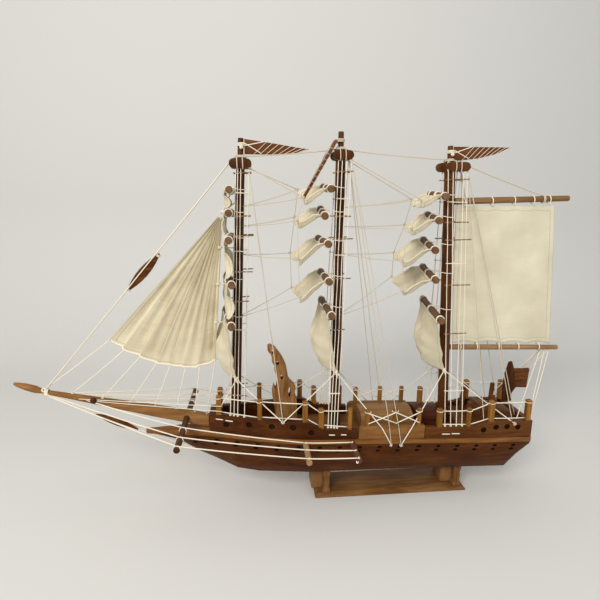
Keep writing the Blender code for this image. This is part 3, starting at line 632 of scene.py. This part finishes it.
def cloth_piece(name, point, columns, rows, mat, nodes, body, shade=None):
    """A sail from point(u, v) in mm, thicker along its turned hems. shade(u, v) darkens it with painted
    shade.
    """
    grid = [[Vector(point(i / columns, j / rows)) for j in range(rows + 1)] for i in range(columns + 1)]
    bm = bmesh.new()
    uv = bm.loops.layers.uv.new("UVMap")
    hem = bm.verts.layers.float.new("hem")
    tone = bm.verts.layers.float.new("shade")
    group = bm.verts.layers.deform.new()
    verts = [[bm.verts.new(W(*p)) for p in line] for line in grid]
    us, vs = [0.0], [0.0]
    for i in range(columns):
        us.append(us[-1] + (grid[i + 1][rows // 2] - grid[i][rows // 2]).length * MM)
    for j in range(rows):
        vs.append(vs[-1] + (grid[columns // 2][j + 1] - grid[columns // 2][j]).length * MM)
    for i in range(columns + 1):
        for j in range(rows + 1):
            inside = min(us[i], us[-1] - us[i], vs[j], vs[-1] - vs[j])
            verts[i][j][hem] = inside
            verts[i][j][tone] = shade(i / columns, j / rows) if shade else 0.0
            verts[i][j][group][0] = 1.0 if inside < HEM_WIDTH else 0.0
    area = 0.0
    for i in range(columns):
        for j in range(rows):
            face = bm.faces.new((verts[i][j], verts[i + 1][j], verts[i + 1][j + 1], verts[i][j + 1]))
            area += face.calc_area()
            corners = ((us[i], vs[j]), (us[i + 1], vs[j]), (us[i + 1], vs[j + 1]), (us[i], vs[j + 1]))
            for loop, value in zip(face.loops, corners):
                loop[uv].uv = value
            face.smooth = True
    mesh = bpy.data.meshes.new(name)
    bm.to_mesh(mesh)
    bm.free()
    obj = link(name, mesh, mat)
    obj.vertex_groups.new(name="hem_group")
    mod = obj.modifiers.new("thick", "SOLIDIFY")
    mod.thickness = CLOTH_THICK * HEM_LAYERS * MM
    mod.offset = 0
    mod.vertex_group = "hem_group"
    mod.thickness_vertex_group = 1 / HEM_LAYERS
    bpy.context.view_layer.objects.active = obj
    bpy.ops.object.select_all(action="DESELECT")
    obj.select_set(True)
    bpy.ops.object.modifier_apply(modifier="thick")
    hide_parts(*nodes)
    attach(obj, body)
    width, length = us[-1], vs[-1]
    if area > 0.99 * width * length:
        width = area / length * 1.012


def wrinkle(p, amount, size=0.05, seed=0.0):
    return noise.noise(Vector(p) * size + Vector((seed, seed * 2, 0))) * amount


CORNERS = {}


def square_sail(name, number, node, point, columns, rows):
    """Makes the cloth and keeps its free corners, for the lines tied there."""
    cloth_piece(node + "_cloth", point, columns, rows, M["cloth"], [node], name + "_yards")
    CORNERS[name, number] = [point(0.0, 1.0), point(1.0, 1.0)]


def upper_sail(name, index):
    back = yard_ends(name, index, 4.0)
    front = [Vector(p) for p in FRONTS[name][index]]
    start = Vector((-YARD_R - 1.3, 0, -1.0))
    seed = index + (3.3 if name == "main" else 7.7)

    def point(u, v):
        s = 2 * u - 1
        run = v * (1 - 0.13 * v * (1 - s * s)) + 0.015 * math.sin(7 * s + seed) * v
        p = (back[0].lerp(back[1], u) + start).lerp(front[0].lerp(front[1], u), run)
        wall = max(0.0, (abs(s) - 0.84) / 0.16)
        p.z += SIDE_WALL * wall * wall * (3 - 2 * wall) * min(1.0, 0.25 + 2.5 * v)
        p.y -= s * 1.5 * wall * wall * math.sin(math.pi * min(1, v * 1.2))
        p.z -= 3.2 * math.sin(math.pi * v) * (1 - s * s)
        p.z += 5.0 * max(0.0, (v - 0.86) / 0.14) ** 2 * (0.25 + 0.75 * abs(s) ** 3)
        p.z += 1.1 * math.sin(2 * math.pi * 2.5 * u + seed) * v * (1 - abs(s)) * (1 - 0.4 * v)
        p.z += wrinkle(p, 2.4, 0.055, seed) + wrinkle(p, 0.8, 0.16, seed)
        return p

    square_sail(name, index + 1, f"{name}_sail_{index + 1}", point, 48, 24)


def hung_sail(name, index):
    half, z, offset, _, _ = YARDS[name][index]
    x = mast_x(name, z) - offset
    drop = z - YARDS[name][index + 1][1] - YARD_R - 3

    def point(u, v):
        s = 2 * u - 1
        belly = 1.6 * math.sin(math.pi * v) * (1 + 0.5 * math.sin(5.0 * s + index + 1))
        px = x - YARD_R - 0.9 - belly + wrinkle((0, s * half, z - drop * v), 2.0, 0.07, index)
        px += 0.7 * math.sin(2 * math.pi * 4 * u + index) * v
        turned = max(0.0, (abs(s) - 0.7) / 0.3)
        below = max(0.0, (v - 0.3) / 0.7)
        px += LEECH_TURN[index] * turned * turned * max(0.0, math.sin(math.pi * below)) ** 0.7
        side = s * (half - 6) * (1 - 0.12 * v - 0.1 * math.sin(math.pi * v))
        return set_yard(name, index, (px + 0.6 * v, side, z - 1 - drop * v))

    square_sail(name, index + 1, f"{name}_sail_{index + 1}", point, 44, 20)


def course(name):
    half, z, offset, _, _ = YARDS[name][4]
    x = mast_x(name, z) - offset
    drop = z - CLEW_Z[name]
    front = x - YARD_R - 1.4
    clew = mast_x(name, z - drop) - 2

    def point(u, v):
        s = 2 * u - 1
        edge_y = (half - 5) * (1 - v) + CLEW_Y * v
        arch = 26 * v * (1 - s * s)
        px = front + (clew - front) * v * abs(s) ** 6 - 5 * v * (1 - s * s)
        middle = 1.0 if name != "fore" else 0.2 + 0.8 * min(1.0, (s / 0.4) ** 2)
        px -= COURSE_BELLY[name] * math.sin(math.pi * v ** 1.2) * (1 - abs(s) ** 6) * middle
        px -= 1.2 * math.sin(9 * s) * v
        fold = math.sin(2 * math.pi * 5 * u + 2.0 * v) * math.sin(math.pi * v) * (1 - s * s)
        px += 1.3 * fold + wrinkle((0, s * edge_y, z - drop * v), 2.2, 0.06, 9)
        return set_yard(name, 4, (px, s * edge_y, z - 1.5 - (drop * v - arch)))

    square_sail(name, 5, f"{name}_course", point, 56, 36)


def sails():
    for name in YARDS:
        for i in range(4):
            (hung_sail if name == "fore" else upper_sail)(name, i)
        course(name)
    spanker()
    fan()


def spanker():
    (ax, az), (bx, bz), (cx, cz), (dx, dz) = SPANKER

    def point(u, v):
        top_x, top_z = ax + (bx - ax) * u, az + (bz - az) * u
        low_x, low_z = dx + (cx - dx) * u, dz + (cz - dz) * u
        low_z += 3.8 * abs(math.sin(math.pi * 4 * u))
        top_z -= 2.0 * abs(math.sin(math.pi * 5 * u))
        x, z = top_x + (low_x - top_x) * v, top_z + (low_z - top_z) * v
        belly = 2.6 * math.sin(math.pi * u) * math.sin(math.pi * v)
        belly += 0.9 * math.sin(0.09 * x + 0.05 * z) * math.exp(-5 * u) + wrinkle((x, 0, z), 1.3, 0.024, 4)
        return (x, belly, z)

    cloth_piece("spanker_cloth", point, 72, 80, M["cloth_light"], ["spanker"], "spanker_gear")


def fan_fold(u):
    phase = FAN_PLEATS * u + 0.16 * math.sin(9 * u + 1) * math.sin(math.pi * u)
    part = phase - math.floor(phase)
    tooth = part / 0.68 if part < 0.68 else (1 - part) / 0.32
    return phase, 0.5 - 0.5 * math.cos(math.pi * tooth)


def fan_point(u, v):
    """Knife pleats from the head, uneven in width, pulled down in shallow scallops at the strings."""
    hx, hz = FAN_HEAD
    first, last = FAN_FOOT[0][0], FAN_FOOT[-1][0]
    phase, fold = fan_fold(u)
    edge = min(1.0, 3 * math.sin(math.pi * min(1, max(0, u))))
    fx = first + (last - first) * u
    fz = along(FAN_FOOT, fx)
    w = 0.035 + 0.965 * v
    scallop = -1.6 * v ** 6 * (math.sin(math.pi * phase) ** 2)
    small = math.sin(2 * math.pi * (2.3 * phase + 0.2 * math.sin(4 * v))) * 0.7
    depth = (5.4 * (2 * fold - 1) + small) * (0.15 + 0.85 * w) * (1 - 0.78 * v ** 8)
    y = depth + wrinkle((fx, 0, v * 240), 2.2, 0.03, 7) * v + wrinkle((fx, 3, v * 240), 0.8, 0.11, 2) * v
    x = hx + (fx - hx) * w + 6.5 * (fold - 0.5) * v * edge
    return (x, max(-7.2, min(7.2, y)), hz + (fz - hz) * w + scallop)


def fan():
    # Painted shade at the bottom of each pleat, fainter towards the foot
    def shade(u, v):
        return 0.75 * (1 - fan_fold(u)[1]) ** 4 * (1 - 0.6 * v)

    cloth_piece("fan_sail_cloth", fan_point, 30 * FAN_PLEATS, 70, M["cloth"], ["fan_sail"], "ship",
                shade)
    roll = Cords("fan_foot_roll", M["twine_thick"])
    ahead = Vector((0, -0.6, 0.3))
    roll.path([Vector(fan_point(i / 120, 1.0)) + ahead for i in range(1, 120)], 1.5, 0)
    roll.done("ship")


# ---------------------------------------------------------------- rigging
def cheek_top(name, dx, side):
    """Point under a cheek of a mast, dx aft of the mast axis."""
    z = MASTS[name][2] - CHEEK_DROP
    return Vector((mast_x(name, z) + dx, side * (MAST_R[name][1] + 2.5), z - CHEEK_HEIGHT / 2 + 1))


def masthead(cords, name):
    """Turns of twine at the foot of the pole and round both cheeks."""
    z = MASTS[name][2]
    for i in range(3):
        cords.ring((mast_x(name, z + 1.6 + i), 0, z + 1.6 + i), (0, 0, 1), POLE_R + 0.9, 0.85, 1.0)
    middle = mast_x(name, z - CHEEK_DROP)
    y0, y1 = MAST_R[name][1] - 1.0, MAST_R[name][1] + 6.8
    top, low = z - CHEEK_DROP + 8, z - CHEEK_DROP - 8
    for side, aft in zip((-1, 1), CHEEK_AFT[name]):
        for dx in (-5.0, 3.5):
            x = middle + aft + dx
            cords.path([(x, side * y0, top), (x, side * y1, top), (x + 0.6, side * (y1 + 0.4), low),
                        (x, side * y0, low)], 0.8, 2)
        cords.path([(middle - 8, side * 2, z + 1.5), (middle - 9, side * 8, top + 0.4),
                    (middle + 2, side * 11, top + 1.6), (middle + 9, side * 5, top + 0.8)], 0.8, 2)


def shrouds(name, tops, feet, foot_z, rungs):
    """Shrouds of one mast, both sides, with rungs of thin cane and of twine across them."""
    for side, label in ((-1, "port"), (1, "starboard")):
        net = Cords(f"{name}_shrouds_{label}", M["twine"])
        sticks = Cords(f"{name}_ratlines_{label}", M["gaff"])
        lines = []
        for dx, fx in zip(tops, feet):
            a = cheek_top(name, dx, side)
            b = Vector((fx, side * rail_y(fx), foot_z(fx)))
            net.line(a, b, r=0.66, wander=0.9)
            net.knot(b, 1.5, fx)
            net.ring(a + Vector((0, 0, 0.5)), (0, 0, 1), 1.0, 0.7, 2.0)
            lines.append((a, b))
        for k, z in enumerate(rungs):
            ends = [p.lerp(q, (p.z - z) / (p.z - q.z)) for p, q in (lines[0], lines[-1])]
            d = (ends[1] - ends[0]).normalized()
            lean = Vector((0, 0, (1.2, -0.8, 0.4)[k % 3]))
            if k % 3 == 1:
                net.line(ends[0] - d * 2, ends[1] + d * 2 + lean, r=0.7, wander=0.3)
            else:
                sticks.line(ends[0] - d * 4, ends[1] + d * (4 + 5 * (k % 2)) + lean, r=0.95, wander=0)
            for p, q in lines:
                net.ring(p.lerp(q, (p.z - z) / (p.z - q.z)), (0.7, 0.3 * side, 0.6), 1.3, 0.55, 1.0, sides=5)
        net.done("ship")
        sticks.done("ship")


def mast_stays():
    heads = {n: (MASTS[n][1], MASTS[n][2]) for n in MASTS}
    stays = Cords("mast_stays", M["twine_dim"])
    (fx, fz), (mx, mz), (zx, zz) = heads["fore"], heads["main"], heads["mizzen"]
    stays.line((fx, -1, fz + 2.5), (mx - 5, -2, mz + 1), 1.0, sag=1.5)
    stays.line((mx + 5, -2, mz + 1), (zx - 4, 0, zz + 3), 1.0, sag=1.5)
    stays.line((zx + 26, -12, zz - 7), (240, -2, 513), 1.15, sag=1)
    stays.ring((240, 0, 508.3), (1, 0, 0.04), 6.2, 0.9, 2.0)
    for n in MASTS:
        masthead(stays, n)
        x, z = heads[n]
        lift = -5.0 if n == "mizzen" else 0.0
        stays.knot((x + 4, -5 + 0.8 * lift, z + 2 + lift), 2.3, x)
        stays.knot((x - 5, -3 + 0.8 * lift, z + 3 + lift), 2.0, x + 1)
    stays.done("ship")


def forestays():
    fore = Cords("forestays", M["twine"])
    for y in (-2.6, 2.6):
        fore.path([(-268, y, 560), (-320, y, 497), (-376, y * 1.9, 430.5), (-407, y * 2.2, 394),
                   (-437, y * 1.9, 358), (-500, y, 284), (-571, y * 0.9, 201)], 0.9)
    for t in (0.04, 0.96):
        c = Vector((-381, 0, 419)).lerp(Vector((-433, 0, 361)), t)
        fore.ring(c, (-52, 0, -58), 3.2, 0.8, 2.0)
    fore.line((-571, 0, 196), (-497, 0, 156), 0.95, sag=1)
    fore.line((-432, 0, 125), (-267, -2, 58.5), 0.95, sag=0.5)
    for y in (-5.0, 5.0):
        fore.line((-498, y, 156), (-430, y, 125), 0.8)
    for i in range(3):
        fore.ring((-572 + i * 1.8, 0, sprit_z(-572 + i * 1.8)), (-0.97, 0, 0.2), 5.4, 0.95, 1.0)
    fore.knot((-573, -3, 201), 2.6, 3)
    fore.knot((-569, -4, 194), 2.2, 5)
    fore.knot((-267, -2.5, 58), 1.8, 5)
    fore.done("ship")


def all_shrouds():
    shrouds("fore", (-6.5, -3.5, 1, 13), (-277, -271, -265, -254), lambda x: along(FORE_TOP, x) + 1,
            (541, 512, 477, 447, 424, 392, 345, 300, 190))
    shrouds("main", (-5, 1, 8, 15), (-118, -113, -108, -103), lambda x: along(FORE_TOP, x) + 1,
            (545, 505, 478, 443, 419, 382, 300, 196))
    shrouds("mizzen", (-7, 1, 18, 24), (81, 91, 101, 111), lambda x: along(AFT_TOP, x) + 1,
            (536, 502, 470, 442, 405, 370, 290, 194))


def guard_lines():
    """Past the bow and along the side booms."""
    fore_x, fore_z = FORE_BOOM
    aft_x, aft_z = AFT_BOOM
    for side, label in ((-1, "port"), (1, "starboard")):
        guard = Cords(f"guard_lines_{label}", M["twine"])
        for k, (y0, y1, y2) in enumerate(((50, 53.5, 57), (80, 75, 82), (106, 100, 103.5))):
            bow = ((-505, side * 5, 181), (-560, side * 3.5, 190), (-571, side * 3, 193))[k]
            guard.line(bow, (fore_x, side * y0, fore_z + 5.2), 0.95, sag=1.5)
            guard.line((fore_x, side * y0, fore_z + 5.2), (aft_x, side * y1, aft_z + 5), 0.95, sag=1.5)
            guard.line((aft_x, side * y1, aft_z + 5), (-80, side * y2, aft_z + 4.5), 0.95, sag=0.5)
            guard.ring((fore_x, side * y0, fore_z), (0, 1, 0), 5.4, 0.7, 1.0)
            guard.knot((aft_x, side * y1, aft_z + 5), 1.3, k)
            guard.knot((-79, side * y2, aft_z + 4.5), 1.3, k + 1)
        guard.line((-520, side * 5, sprit_z(-520)), (-290, side * 24, 172), 0.6, sag=0.5)
        guard.line((-508, side * 6, sprit_z(-508)), (-290, side * 24, 163), 0.6, sag=0.5)
        guard.knot((-81, side * 103.5, 110), 1.9, 2)
        guard.done("ship")


def rail_cords():
    for side, label in ((-1, "port"), (1, "starboard")):
        rail = Cords(f"rail_cords_{label}", M["twine"])
        for posts, tops in ((FORE_POSTS, FORE_TOP), (AFT_POSTS, AFT_TOP)):
            for (x0, z0), (x1, z1) in zip(posts, posts[1:]):
                y0, y1 = side * rail_y(x0), side * rail_y(x1)
                low0, low1 = along(tops, x0) + 3.5, along(tops, x1) + 3.5
                rail.line((x0 + 4, y0, z0 - 4.5), (x1 - 4, y1, z1 - 4.5), 0.9, sag=0.6)
                rail.line((x0 + 4, y0, low0), (x1 - 4, y1, low1), 0.9, sag=0.3)
        for (x0, z0), (x1, z1) in zip(WAIST_POSTS, WAIST_POSTS[1:]):
            y0, y1 = side * (rail_y(x0) + 4.2), side * (rail_y(x1) + 4.2)
            low = along(WAIST_TOP, x0) + 5
            rail.line((x0, y0, z0 - 5), (x1, y1, low), 0.9)
            rail.line((x0, y0, low), (x1, y1, z1 - 5), 0.9)
        for x, z in FORE_POSTS[:4] + WAIST_POSTS + AFT_POSTS:
            rail.ring((x, side * rail_y(x), z - 4.5), (0, 0, 1), 5.0, 0.62, 1.0)
        for x0, x1, z in ((-301, -289, 148.5), (-285, -273, 147), (-117, -107, 128), (-97, -88, 127.5),
                          (75, 89, 121), (92, 106, 121)):
            y0, y1 = side * (along(DECK_HALF, x0) - 0.9), side * (along(DECK_HALF, x1) - 0.9)
            rail.line((x0, y0, z), (x1, y1, z - 0.6), 0.9, wander=0)
        rail.done("ship")


def clew_lines():
    """From the lower corners of the courses to the rail."""
    anchors = {
        "fore": ((-300, 18, 157), (-192, 47.5, 151)),
        "main": ((-192, 47.5, 151), (-12, 52.5, 106)),
        "mizzen": ((5, 52.5, 105), (203, 50.5, 134)),
    }
    over_rail = {-12: (-29.5, 54.5, 138), 5: (21, 54.5, 137)}
    for name in MASTS:
        body = name + "_yards"
        lines = Cords(f"{name}_clew_lines", M["twine"])
        a = mast_x(name, 216)
        for k, side in enumerate((-1, 1)):
            clew = CORNERS[name, 5][k]
            for ax, ay, az in anchors[name]:
                if ax in over_rail:
                    rx, ry, rz = over_rail[ax]
                    lines.line(clew, (rx, side * ry, rz), 0.9, wander=0)
                    lines.line((rx, side * ry, rz), (ax, side * ay, az), 0.9, wander=0)
                else:
                    lines.line(clew, (ax, side * ay, az), 0.9, sag=0.5)
            lines.line(clew, clew + Vector((3, side * 1.5, -11)), 0.75, n=4)
            lines.knot(clew, 3.0, 1 + k)
            lines.knot(clew + Vector((1.5, 0, -3)), 2.2, 3 + k)
        lines.done(blend=("ship", body, (a, 0, 170), (a, 0, 205)))


def backstays():
    back = Cords("backstays", M["twine_dim"])
    for side in (-1, 1):
        for name, dx, foot in (("fore", 13, (-192, 48.5, 152)), ("main", 16, (-12, 52.5, 106)),
                               ("main", 16, (5, 52.5, 105)), ("mizzen", 25, (150, 45, 139)),
                               ("mizzen", 25, (200, 46, 139)), ("mizzen", 25, (214, 30, 139))):
            a = cheek_top(name, dx, side)
            foot = Vector((foot[0], side * foot[1], foot[2]))
            if foot.z < 110:
                rail_point = a.lerp(foot, (a.z - 138) / (a.z - foot.z))
                rail_point.y = side * 54.5
                back.line(rail_point, foot, 0.65, wander=0)
                foot = rail_point
            back.line(a, foot, 0.65, wander=0.9)
        for x, z in ((-192, 151), (-12, 105.5), (5, 104.5), (203, 134)):
            back.knot((x, side * (along(DECK_HALF, x) - 0.2), z), 2.2, x)
    back.done("ship")


def braces():
    """Braces and leech lines of the let-out sails."""
    for name, ahead in (("main", "fore"), ("mizzen", "main")):
        body = name + "_yards"
        lines = Cords(f"{name}_braces", M["twine_dim"])
        corners = [c for i in range(1, 5) for c in CORNERS[name, i]]
        for i in range(1, 5):
            z_to = {1: 492, 2: 462, 3: 418, 4: 318}[i]
            for k, side in enumerate((-1, 1)):
                c = CORNERS[name, i][k]
                r = mast_r(ahead, z_to)
                lines.line(c, (mast_x(ahead, z_to) + 0.8 * r, side * 0.6 * r, z_to), 0.6, sag=1.5, wander=0.6)
                if i == 1:
                    lines.line(c, cheek_top(ahead, 14, side), 0.75)
        near_x = mast_x(ahead, 450) + 12
        lines.done(blend=("ship", body, (near_x, 0, 0), (min(c.x for c in corners) - 1, 0, 0)))
        leech = Cords(f"{name}_leech_lines", M["twine_dim"])
        for k in (0, 1):
            for i in range(1, 4):
                leech.line(CORNERS[name, i][k], CORNERS[name, i + 1][k], 0.6)
            for i in range(1, 5):
                leech.knot(CORNERS[name, i][k], 1.7, i)
        leech.done(body)


def yard_ties():
    """Turns of twine near the yard ends, and where each yard is tied to its mast."""
    for name, table in YARDS.items():
        ties = Cords(f"{name}_yard_ties", M["twine"])
        for i, (_, z, _, _, _) in enumerate(table):
            a, b = yard_ends(name, i)
            axis = b - a
            for t in (9, 11):
                for p, q in ((a, b), (b, a)):
                    ties.ring(p + (q - p).normalized() * t, axis, YARD_R + 0.6, 0.8, 1.0, pitch=0.4)
            middle = a.lerp(b, 0.5)
            ties.ring(middle, axis, YARD_R + 0.6, 0.85, 3.0, pitch=1.7)
            mast = Vector((mast_x(name, z), 0, z))
            back = (mast - middle).normalized()
            side = Vector((-back.y, back.x, 0)).normalized()
            r = mast_r(name, z) + 0.9
            loop = [middle + side * 3 + Vector((0, 0, 5))]
            for k in range(13):
                turn = math.radians(100 - 200 * k / 12)
                round_mast = back * (r * math.cos(turn)) + side * (r * math.sin(turn))
                loop.append(mast + round_mast + Vector((0, 0, 0.8)))
            loop.append(middle - side * 3 + Vector((0, 0, 5)))
            ties.path(loop, 0.7, 0)
        ties.done(name + "_yards")


def fan_strings():
    """Strings at the foot of the fan sail, luff ties and head lashing."""
    strings = Cords("fan_strings", M["twine"])
    for i, bx in enumerate((-571, -530, -484, -441, -402, -368, -338, -318)):
        foot = Vector(fan_point(min(0.997, (i + 0.02) / FAN_PLEATS), 1.0))
        bz = sprit_z(bx) + (5.5 if bx < -560 else 6 + 3 * (bx - SPRIT_TIP[0]) / 235)
        strings.line(foot, (bx, 0, bz), 0.85, sag=0.6)
        strings.knot((bx, -1, bz), 1.5, i)
        strings.ring(foot, (1, 0, -0.3), 1.9, 0.8, 1.0)
    for v in (0.2, 0.45, 0.72):
        p = Vector(fan_point(0.995, v))
        strings.line(p, (mast_x("fore", p.z) - 7.5, 3, p.z - 1), 0.8)
        strings.ring((p.x - 1.0, p.y, p.z), (0.1, 0, 1), 3.0, 0.8, 2.0)
    strings.knot((FAN_HEAD[0] + 1, 0, FAN_HEAD[1] + 1), 3.0, 4)
    strings.line((FAN_HEAD[0], 0, FAN_HEAD[1]), (mast_x("fore", 528) - 6.5, -3, 528), 0.95)
    strings.line((FAN_HEAD[0], 2, FAN_HEAD[1]), (mast_x("fore", 498) - 6.5, 3, 498), 0.95)
    strings.done("ship")


def spanker_cords():
    """Lacing to the gaff and the boom, and the sheets."""
    lace = Cords("spanker_lacing", M["twine"])
    for x in (104, 151, 189, 222, 250):
        z = along(GAFF_LINE, x)
        lace.ring((x, 0, z - 1), (1, 0, 0.03), 6.6, 0.85, 1.0)
        lace.knot((x + 1.5, -2.5, z - 7.5), 1.3, x)
    for x in (118, 148, 188, 224, 262):
        z = along(BOOM_LINE, x)
        lace.ring((x, 0, z + 1.2), (1, 0, -0.03), 6.2, 0.85, 1.0)
        lace.knot((x, -2.5, z + 7.0), 1.3, x)
    lace.done("spanker_gear")
    sheets = Cords("spanker_sheets", M["twine"])
    for ex, sx, sy, sz in ((268, 207, 47, 141), (276, 232, 47, 172), (268, 216, 0, 190), (284, 232, 47, 139)):
        for side in (-1, 1):
            sheets.line((ex, 0, 249), (sx, side * sy, sz), 0.75)
    sheets.done(blend=("ship", "spanker_gear", (230, 0, 178), (264, 0, 240)))


def bead():
    """Small turned knob pegged into the side of the bowsprit."""
    centre = W(-497, -6.2, sprit_z(-497) + 3)
    bm = bmesh.new()
    axis = Vector((0.35, -0.93, 0.1)).normalized()
    side = axis.orthogonal().normalized()
    up = axis.cross(side)
    rings = []
    for t, r in ((0, 2.4), (0.5, 3.0), (1.2, 4.4), (2.6, 5.2), (4.2, 5.0), (5.6, 3.8), (6.3, 1.8)):
        ring = []
        for j in range(16):
            turn = 2 * math.pi * j / 16
            offset = side * (r * MM * math.cos(turn)) + up * (r * MM * math.sin(turn))
            ring.append(bm.verts.new(centre + axis * (t * MM) + offset))
        rings.append(ring)
    for p, q in zip(rings, rings[1:]):
        for j in range(16):
            bm.faces.new((p[j], p[(j + 1) % 16], q[(j + 1) % 16], q[j]))
    bm.faces.new(list(reversed(rings[0])))
    bm.faces.new(rings[-1])
    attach(from_bm("bowsprit_knob", bm, M["dark_z"], 50), "ship")


def pennant_wraps():
    """Twine wound slantwise round each wooden pennant and its pole."""
    for name in MASTS:
        pole_z = MASTS[name][3]
        low = pole_z - PENNANT_HEIGHT - 1
        pole_x = mast_x(name, low + 12)
        length = PENNANT_LENGTH[name]
        lower, upper = PENNANT_EDGES[name]
        upper = tuple(reversed(upper)) + (lower[-1],)
        wrap = Cords(f"{name}_pennant_wrap", M["twine_dim" if name == "main" else "twine"])
        if name == "main":
            start = Vector((pole_x - POLE_R - 3.8, -0.5 * PENNANT_HEIGHT - 2, pole_z - 13))
            d = Vector((-0.494, -0.02, -0.868)).normalized()
            across = Vector((0, 1, 0))
            face = d.cross(across).normalized()

            def place(t, s, y):
                return start + d * (1 + length * t) + across * (PENNANT_HEIGHT * s) + face * y
        else:
            def place(t, s, y):
                return Vector((pole_x + POLE_R + 1 + length * t, y, low + PENNANT_HEIGHT * s))

        skin = PENNANT_THICK / 2 + 0.45
        for k in range(8):
            t0 = 0.14 + 0.095 * k
            t1 = min(0.985, t0 + 0.2)
            lo, hi = along(lower, t0) - 0.02, along(upper, t1) + 0.02
            for y in (-skin, skin):
                wrap.line(place(t0, lo, y), place(t1, hi, y), 0.36, wander=0)
            wrap.line(place(t0, lo, -skin), place(t0, lo, skin), 0.36, n=2, wander=0)
            wrap.line(place(t1, hi, -skin), place(t1, hi, skin), 0.36, n=2, wander=0)
        for y in (-skin - 0.3, skin + 0.3):
            wrap.line(place(0.0, 0.55, y), place(0.3, along(upper, 0.3), y), 0.75, wander=0)
            wrap.line(place(0.0, 0.72, y), place(0.26, along(lower, 0.26) + 0.04, y), 0.75, wander=0)
        if name == "main":
            for i in range(3):
                x, z = mast_x(name, pole_z - 15 + i * 1.7), pole_z - 15 + i * 1.7
                wrap.ring((x - 1.6, 0, z), (0, 0, 1), POLE_R + 2.4, 0.8, 1.0)
            for y in (-8, 8):
                wrap.line((x - 6, y * 0.5, z), start + Vector((0, 13.5 + y, -1)), 0.8, wander=0)
        else:
            for i in range(3):
                z = low + 12 + i * 1.7
                wrap.ring((mast_x(name, z) + 0.6, 0, z), (0, 0, 1), POLE_R + 1.4, 0.8, 1.0)
            wrap.knot((pole_x + 1, -POLE_R - 2, low + 9.5), 2.0, 3)
        wrap.done(name + "_flag")


# ---------------------------------------------------------------- camera, light, floor
CAMERA_LENS = 26.6334
CAMERA_TURN = (5.8356, 11.7927, 0.5318)  # yaw, pitch and roll in degrees
CAMERA_PLACE = (-0.23357, -0.70683, 0.49132)  # metres, x from the middle of the stand


def camera():
    data = bpy.data.cameras.new("camera")
    data.sensor_width = 36
    data.sensor_fit = "HORIZONTAL"
    data.lens = CAMERA_LENS
    data.clip_start, data.clip_end = 0.01, 20
    obj = bpy.data.objects.new("camera", data)
    scene.collection.objects.link(obj)
    yaw, pitch, roll = (math.radians(v) for v in CAMERA_TURN)
    forward = Vector((math.sin(yaw) * math.cos(pitch), math.cos(yaw) * math.cos(pitch), -math.sin(pitch)))
    right = forward.cross(Vector((0, 0, 1))).normalized()
    up = right.cross(forward)
    r2 = right * math.cos(roll) + up * math.sin(roll)
    u2 = up * math.cos(roll) - right * math.sin(roll)
    m = Matrix((r2, u2, -forward)).transposed().to_4x4()
    m.translation = Vector(CAMERA_PLACE) + Vector((SHIFT * MM, 0, 0))
    obj.matrix_world = m
    scene.camera = obj


def plain(name, colour, rough):
    s = Shader(name)
    mottle = s.add("TexNoise", "Fac", {"Scale": 3})
    s.feed(s.surface, {"Base Color": s.ramp(mottle, (0.3, scaled(colour, 0.97)), (0.7, colour)),
                       "Roughness": rough})
    return s.mat


def studio():
    bm = bmesh.new()
    profile = [(-3.0, 0.0), (0.55, 0.0)]
    for i in range(1, 13):
        a = math.pi / 2 * i / 12
        profile.append((0.55 + 0.5 * math.sin(a), 0.5 - 0.5 * math.cos(a)))
    profile.append((1.05, 4.0))
    rows = []
    for x in (-5.0, 5.0):
        rows.append([bm.verts.new((x, y, z - 0.0002)) for y, z in profile])
    for i in range(len(profile) - 1):
        bm.faces.new((rows[0][i], rows[1][i], rows[1][i + 1], rows[0][i + 1]))
    bmesh.ops.recalc_face_normals(bm, faces=bm.faces)
    floor = from_bm("studio_floor", bm, plain("floor_paint", (0.62, 0.60, 0.56), 0.7), sharp=60)
    world = bpy.data.worlds.new("studio") if scene.world is None else scene.world
    scene.world = world
    world.use_nodes = True
    background = world.node_tree.nodes["Background"]
    background.inputs["Color"].default_value = (0.86, 0.92, 1.0, 1)
    background.inputs["Strength"].default_value = 0.5

    def area(name, place, target, size, power, colour):
        data = bpy.data.lights.new(name, "AREA")
        data.shape = "RECTANGLE"
        data.size, data.size_y = size
        data.energy = power
        data.color = colour
        obj = bpy.data.objects.new(name, data)
        scene.collection.objects.link(obj)
        obj.location = place
        obj.rotation_mode = "QUATERNION"
        obj.rotation_quaternion = (Vector(place) - Vector(target)).to_track_quat("Z", "Y")

    area("key", (-1.0, -1.9, 1.7), (0, 0, 0.3), (1.2, 0.9), 56, (1.0, 0.97, 0.93))
    area("fill", (1.5, -1.2, 1.0), (0, 0, 0.3), (1.4, 1.4), 9, (0.95, 0.98, 1.0))
    area("top", (0.0, 0.0, 2.2), (0, 0, 0.2), (2.0, 1.2), 8, (1.0, 0.99, 0.97))


scene.view_settings.view_transform = "Standard"
camera()
studio()
woodwork()
sails()
for rigged in (mast_stays, forestays, all_shrouds, guard_lines, rail_cords, clew_lines, backstays, braces,
               yard_ties, fan_strings, spanker_cords, bead, pennant_wraps):
    rigged()
